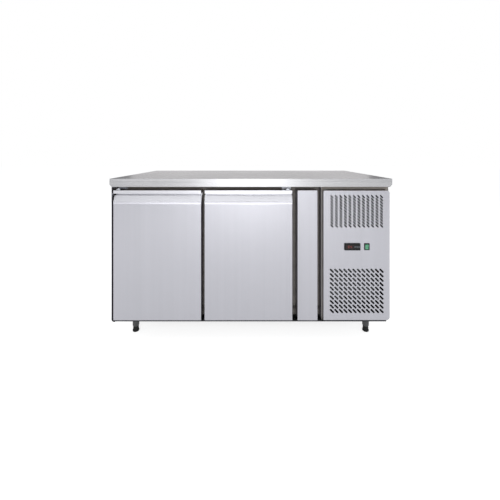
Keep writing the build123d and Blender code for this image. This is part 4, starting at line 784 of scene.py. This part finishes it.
def add_blade(mesh, root, tip, turn):
    """One blade about Z: wider and flatter towards its tip, with a slight hollow."""
    part = bmesh.new()
    bmesh.ops.create_grid(part, x_segments=8, y_segments=6, size=1)
    for vert in part.verts:
        out, across = (vert.co.x + 1) / 2, vert.co.y
        radius = root + out * (tip - root)
        chord = BLADE_HALF_CHORD + BLADE_BULGE * math.sin(out * 0.8 * math.pi)
        pitch = BLADE_ROOT_PITCH + out * (BLADE_TIP_PITCH - BLADE_ROOT_PITCH)
        angle = turn + across * chord * math.cos(pitch) / radius
        height = across * chord * math.sin(pitch) + BLADE_HOLLOW * (1 - across * across)
        vert.co = (radius * math.cos(angle), radius * math.sin(angle), height)
    bmesh.ops.recalc_face_normals(part, faces=part.faces)
    bmesh.ops.solidify(part, geom=part.faces[:], thickness=BLADE_THICKNESS)
    bmesh.ops.recalc_face_normals(part, faces=part.faces)
    join(mesh, part)


class REFRIGERATOR_OT_condenser(bpy.types.Operator):
    """Stack the condenser's thin fins on its looped tube"""
    bl_idname = "refrigerator.condenser"
    bl_label = "Condenser"

    def execute(self, context):
        coil_low, coil_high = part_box("condenser_coil")
        block_low, block_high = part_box("condenser_shroud")
        pitch = context.scene.refrigerator_cooling.fin_pitch
        mesh = bmesh.new()
        count = int((block_high.x - block_low.x) / pitch)
        for fin in range(count + 1):
            x = block_low.x + fin * (block_high.x - block_low.x - FIN_THICKNESS) / count
            add_block(mesh, (x, coil_low.y, coil_low.z), (x + FIN_THICKNESS, coil_high.y, coil_high.z))
        add_tube_loop(mesh, block_low, block_high, (coil_low + coil_high) / 2)
        new_piece("condenser_finned", mesh, BODY_OF["condenser_coil"], SLOT_OF["condenser_coil"],
                  ["condenser_coil"])
        return {"FINISHED"}


def add_tube_loop(mesh, low, high, middle):
    """Six straight runs of tube, joined by return bends outside the fins."""
    left, right = low.x - TUBE_LEAD, high.x + TUBE_LEAD
    for row in range(TUBE_ROWS):
        z = middle.z + (row - (TUBE_ROWS - 1) / 2) * TUBE_PITCH
        add_rod(mesh, (left, middle.y, z), (right, middle.y, z), TUBE_RADIUS, 16)
        if row < TUBE_ROWS - 1:
            part = bmesh.new()
            ring = bmesh.ops.create_circle(part, cap_ends=False, segments=16, radius=TUBE_RADIUS)["verts"]
            bend_x, side = (left, -1) if row % 2 == 0 else (right, 1)
            place = Matrix.Translation((bend_x, middle.y, z)) @ Matrix.Rotation(math.pi / 2, 4, "Y")
            bmesh.ops.transform(part, matrix=place, verts=ring)
            bmesh.ops.spin(part, geom=part.verts[:] + part.edges[:],
                           cent=(bend_x, middle.y, z + TUBE_PITCH / 2),
                           axis=(0, side, 0), angle=-math.pi, steps=10)
            bmesh.ops.holes_fill(part, edges=part.edges)
            bmesh.ops.recalc_face_normals(part, faces=part.faces)
            join(mesh, part)


class REFRIGERATOR_OT_grille(bpy.types.Operator):
    """Press a hooded louvre over each slot of the rear grille"""
    bl_idname = "refrigerator.grille"
    bl_label = "Rear grille"

    def execute(self, context):
        settings = context.scene.refrigerator_sheet
        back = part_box("rear_grille")[1].y
        mesh = cad_mesh("rear_grille")
        # The long level edges of each slot, one for each slot, are where the hoods go.
        tops = {}
        for edge in mesh.edges:
            start, end = (vert.co for vert in edge.verts)
            level = abs(start.z - end.z) < 0.01 * MM and min(start.y, end.y) > back - 0.01 * MM
            if level and LOUVRE_LENGTHS[0] < abs(start.x - end.x) < LOUVRE_LENGTHS[1]:
                key = (round(min(start.x, end.x), 4), round(start.z / LOUVRE_PITCH))
                tops[key] = (min(start.x, end.x), max(start.x, end.x), start.z)
        soften(mesh, settings.edge, 2)
        for start_x, end_x, z in tops.values():
            add_hood(mesh, start_x, end_x, back, z, settings.hood)
        new_piece("rear_grille_louvred", mesh, BODY_OF["rear_grille"], SLOT_OF["rear_grille"],
                  ["rear_grille"])
        return {"FINISHED"}


def add_hood(mesh, start_x, end_x, y, z, out):
    """One louvre hood: a sloping roof with closed ends, open underneath."""
    part = bmesh.new()
    add_block(part, (start_x - 1 * MM, y - 0.2 * MM, z - HOOD_DROP), (end_x + 1 * MM, y + out, z + 2 * MM))
    for vert in part.verts:
        if vert.co.z > z and vert.co.y > y + 0.1 * MM:
            vert.co.y = y + 1 * MM
    roof = [edge for edge in part.edges if min(vert.co.y for vert in edge.verts) > y + 0.1 * MM]
    bmesh.ops.bevel(part, geom=roof, offset=0.8 * MM, offset_type="OFFSET", segments=2, profile=0.5,
                    affect="EDGES", clamp_overlap=True, material=-1)
    open_faces = []
    for face in part.faces:
        centre = face.calc_center_median()
        if centre.z < z - HOOD_DROP + 0.1 * MM or centre.y < y:
            open_faces.append(face)
    bmesh.ops.delete(part, geom=open_faces, context="FACES")
    bmesh.ops.solidify(part, geom=part.faces[:], thickness=HOOD_SHEET)
    join(mesh, part)


# ---- Stage ----

class REFRIGERATOR_OT_stage(bpy.types.Operator):
    """Build the pale floor, the soft lights and the camera"""
    bl_idname = "refrigerator.stage"
    bl_label = "Stage"

    def execute(self, context):
        scene = context.scene
        scene.view_settings.view_transform = "Standard"
        scene.view_settings.look = "None"
        make_floor()
        make_world(scene)
        for light in LIGHTS:
            make_light(*light)
        make_camera(scene)
        return {"FINISHED"}


FLOOR_HALF = 20
FLOOR_GLOW = 0.76
WORLD_LIGHT = 0.5


def make_floor():
    """A wide pale floor that glows a little, so that it reads white all over."""
    mesh = bmesh.new()
    bmesh.ops.create_grid(mesh, x_segments=2, y_segments=2, size=FLOOR_HALF)
    data = bpy.data.meshes.new("floor")
    mesh.to_mesh(data)
    mesh.free()
    floor = bpy.data.objects.new("floor", data)
    bpy.context.scene.collection.objects.link(floor)
    material, tree, shader, coords = new_material("Pale studio floor")
    clouds = add(tree, "TexNoise", {"Vector": coords, "Scale": 0.7}).outputs["Fac"]
    colour = tint(tree, clouds, linear("B6B6B6"), linear("BCBCBC"))
    tree.links.new(colour, shader.inputs["Base Color"])
    shader.inputs["Roughness"].default_value = 0.9
    shader.inputs["Specular IOR Level"].default_value = 0.1
    shader.inputs["Emission Color"].default_value = [1, 1, 1, 1]
    shader.inputs["Emission Strength"].default_value = FLOOR_GLOW
    data.materials.append(material)


def make_world(scene):
    """An even surround: white to the camera, softer and faintly blue as light."""
    world = bpy.data.worlds.new("studio")
    world.use_nodes = True
    tree = world.node_tree
    lit = tree.nodes["Background"]
    lit.inputs["Color"].default_value = [0.97, 0.98, 1.0, 1.0]
    lit.inputs["Strength"].default_value = WORLD_LIGHT
    seen = add(tree, "Background", {"Color": [1.0, 1.0, 1.0, 1.0], "Strength": 1.0})
    path = add(tree, "LightPath").outputs["Is Camera Ray"]
    mixed = add(tree, "MixShader", {0: path, 1: lit.outputs[0], 2: seen.outputs[0]})
    tree.links.new(mixed.outputs[0], tree.nodes["World Output"].inputs["Surface"])
    scene.world = world


# Name, place, aim, width, height, watts.
LIGHTS = [
    ("front_softbox", (0.0, -4.2, 1.0), (0.0, 0.0, 0.7), 1.5, 1.9, 20.0),
    ("front_wide_softbox", (0.0, -4.6, 1.6), (0.0, 0.0, 0.7), 5.2, 1.5, 46.0),
    ("floor_wash", (0.0, -4.0, 2.4), (0.0, -4.0, 0.0), 6.0, 1.6, 115.0),
    ("upper_softbox", (0.0, -3.6, 3.1), (0.0, -0.3, 0.7), 4.4, 1.8, 8.0),
    ("back_softbox", (0.0, 3.6, 1.1), (0.0, 0.0, 0.8), 4.4, 2.0, 22.0),
    ("ceiling_softbox", (0.0, 0.3, 4.2), (0.0, 0.0, 0.8), 5.0, 3.6, 42.0),
    ("left_strip", (-3.0, -1.2, 1.2), (-0.6, -0.3, 0.5), 0.6, 2.2, 10.0),
    ("right_strip", (3.0, -1.2, 1.2), (0.6, -0.3, 0.5), 0.6, 2.2, 10.0),
]


def make_light(name, place, aim, width, height, watts):
    """A rectangular softbox at place, facing aim."""
    data = bpy.data.lights.new(name, "AREA")
    data.shape = "RECTANGLE"
    data.size = width
    data.size_y = height
    data.energy = watts
    light = bpy.data.objects.new(name, data)
    bpy.context.scene.collection.objects.link(light)
    light.location = place
    light.rotation_euler = (Vector(aim) - Vector(place)).to_track_quat("-Z", "Y").to_euler()


CAMERA_LENS = 20.8
CAMERA_SHIFT = -0.191
CAMERA_AWAY = 1.388
CAMERA_ABOVE = 0.1163


def make_camera(scene):
    """A level camera just above the worktop, in front of the doors."""
    low, high = CAD_BOX
    data = bpy.data.cameras.new("camera")
    data.sensor_width = 36.0
    data.lens = CAMERA_LENS
    data.shift_y = CAMERA_SHIFT
    camera = bpy.data.objects.new("camera", data)
    scene.collection.objects.link(camera)
    camera.location = (-0.004, low.y - CAMERA_AWAY, high.z + CAMERA_ABOVE)
    camera.rotation_euler = (math.radians(90), 0, 0)
    scene.camera = camera


OPERATORS = [REFRIGERATOR_OT_finishes, REFRIGERATOR_OT_worktop, REFRIGERATOR_OT_casing,
             REFRIGERATOR_OT_machine_panel, REFRIGERATOR_OT_doors, REFRIGERATOR_OT_controls,
             REFRIGERATOR_OT_feet, REFRIGERATOR_OT_screws, REFRIGERATOR_OT_fans,
             REFRIGERATOR_OT_condenser, REFRIGERATOR_OT_grille, REFRIGERATOR_OT_stage]
SETTINGS = {"refrigerator_finish": REFRIGERATOR_PG_finish, "refrigerator_sheet": REFRIGERATOR_PG_sheet,
            "refrigerator_feet": REFRIGERATOR_PG_feet, "refrigerator_cooling": REFRIGERATOR_PG_cooling}


class REFRIGERATOR_PT_panel(bpy.types.Panel):
    """The refrigerator's settings, and a button for each operator"""
    bl_idname = "REFRIGERATOR_PT_panel"
    bl_label = "Counter refrigerator"
    bl_space_type = "VIEW_3D"
    bl_region_type = "UI"
    bl_category = "Refrigerator"

    def draw(self, context):
        for name, group in SETTINGS.items():
            for setting in group.__annotations__:
                self.layout.prop(getattr(context.scene, name), setting)
        for operator in OPERATORS:
            self.layout.operator(operator.bl_idname)


CLASSES = list(SETTINGS.values()) + OPERATORS + [REFRIGERATOR_PT_panel]


def register():
    for cls in CLASSES:
        bpy.utils.register_class(cls)
    for name, group in SETTINGS.items():
        setattr(bpy.types.Scene, name, bpy.props.PointerProperty(type=group))


def unregister():
    for name in SETTINGS:
        delattr(bpy.types.Scene, name)
    for cls in reversed(CLASSES):
        bpy.utils.unregister_class(cls)


def main():
    register()
    for operator in OPERATORS:
        group, name = operator.bl_idname.split(".")
        getattr(getattr(bpy.ops, group), name)()


if __name__ == "__main__":
    main()
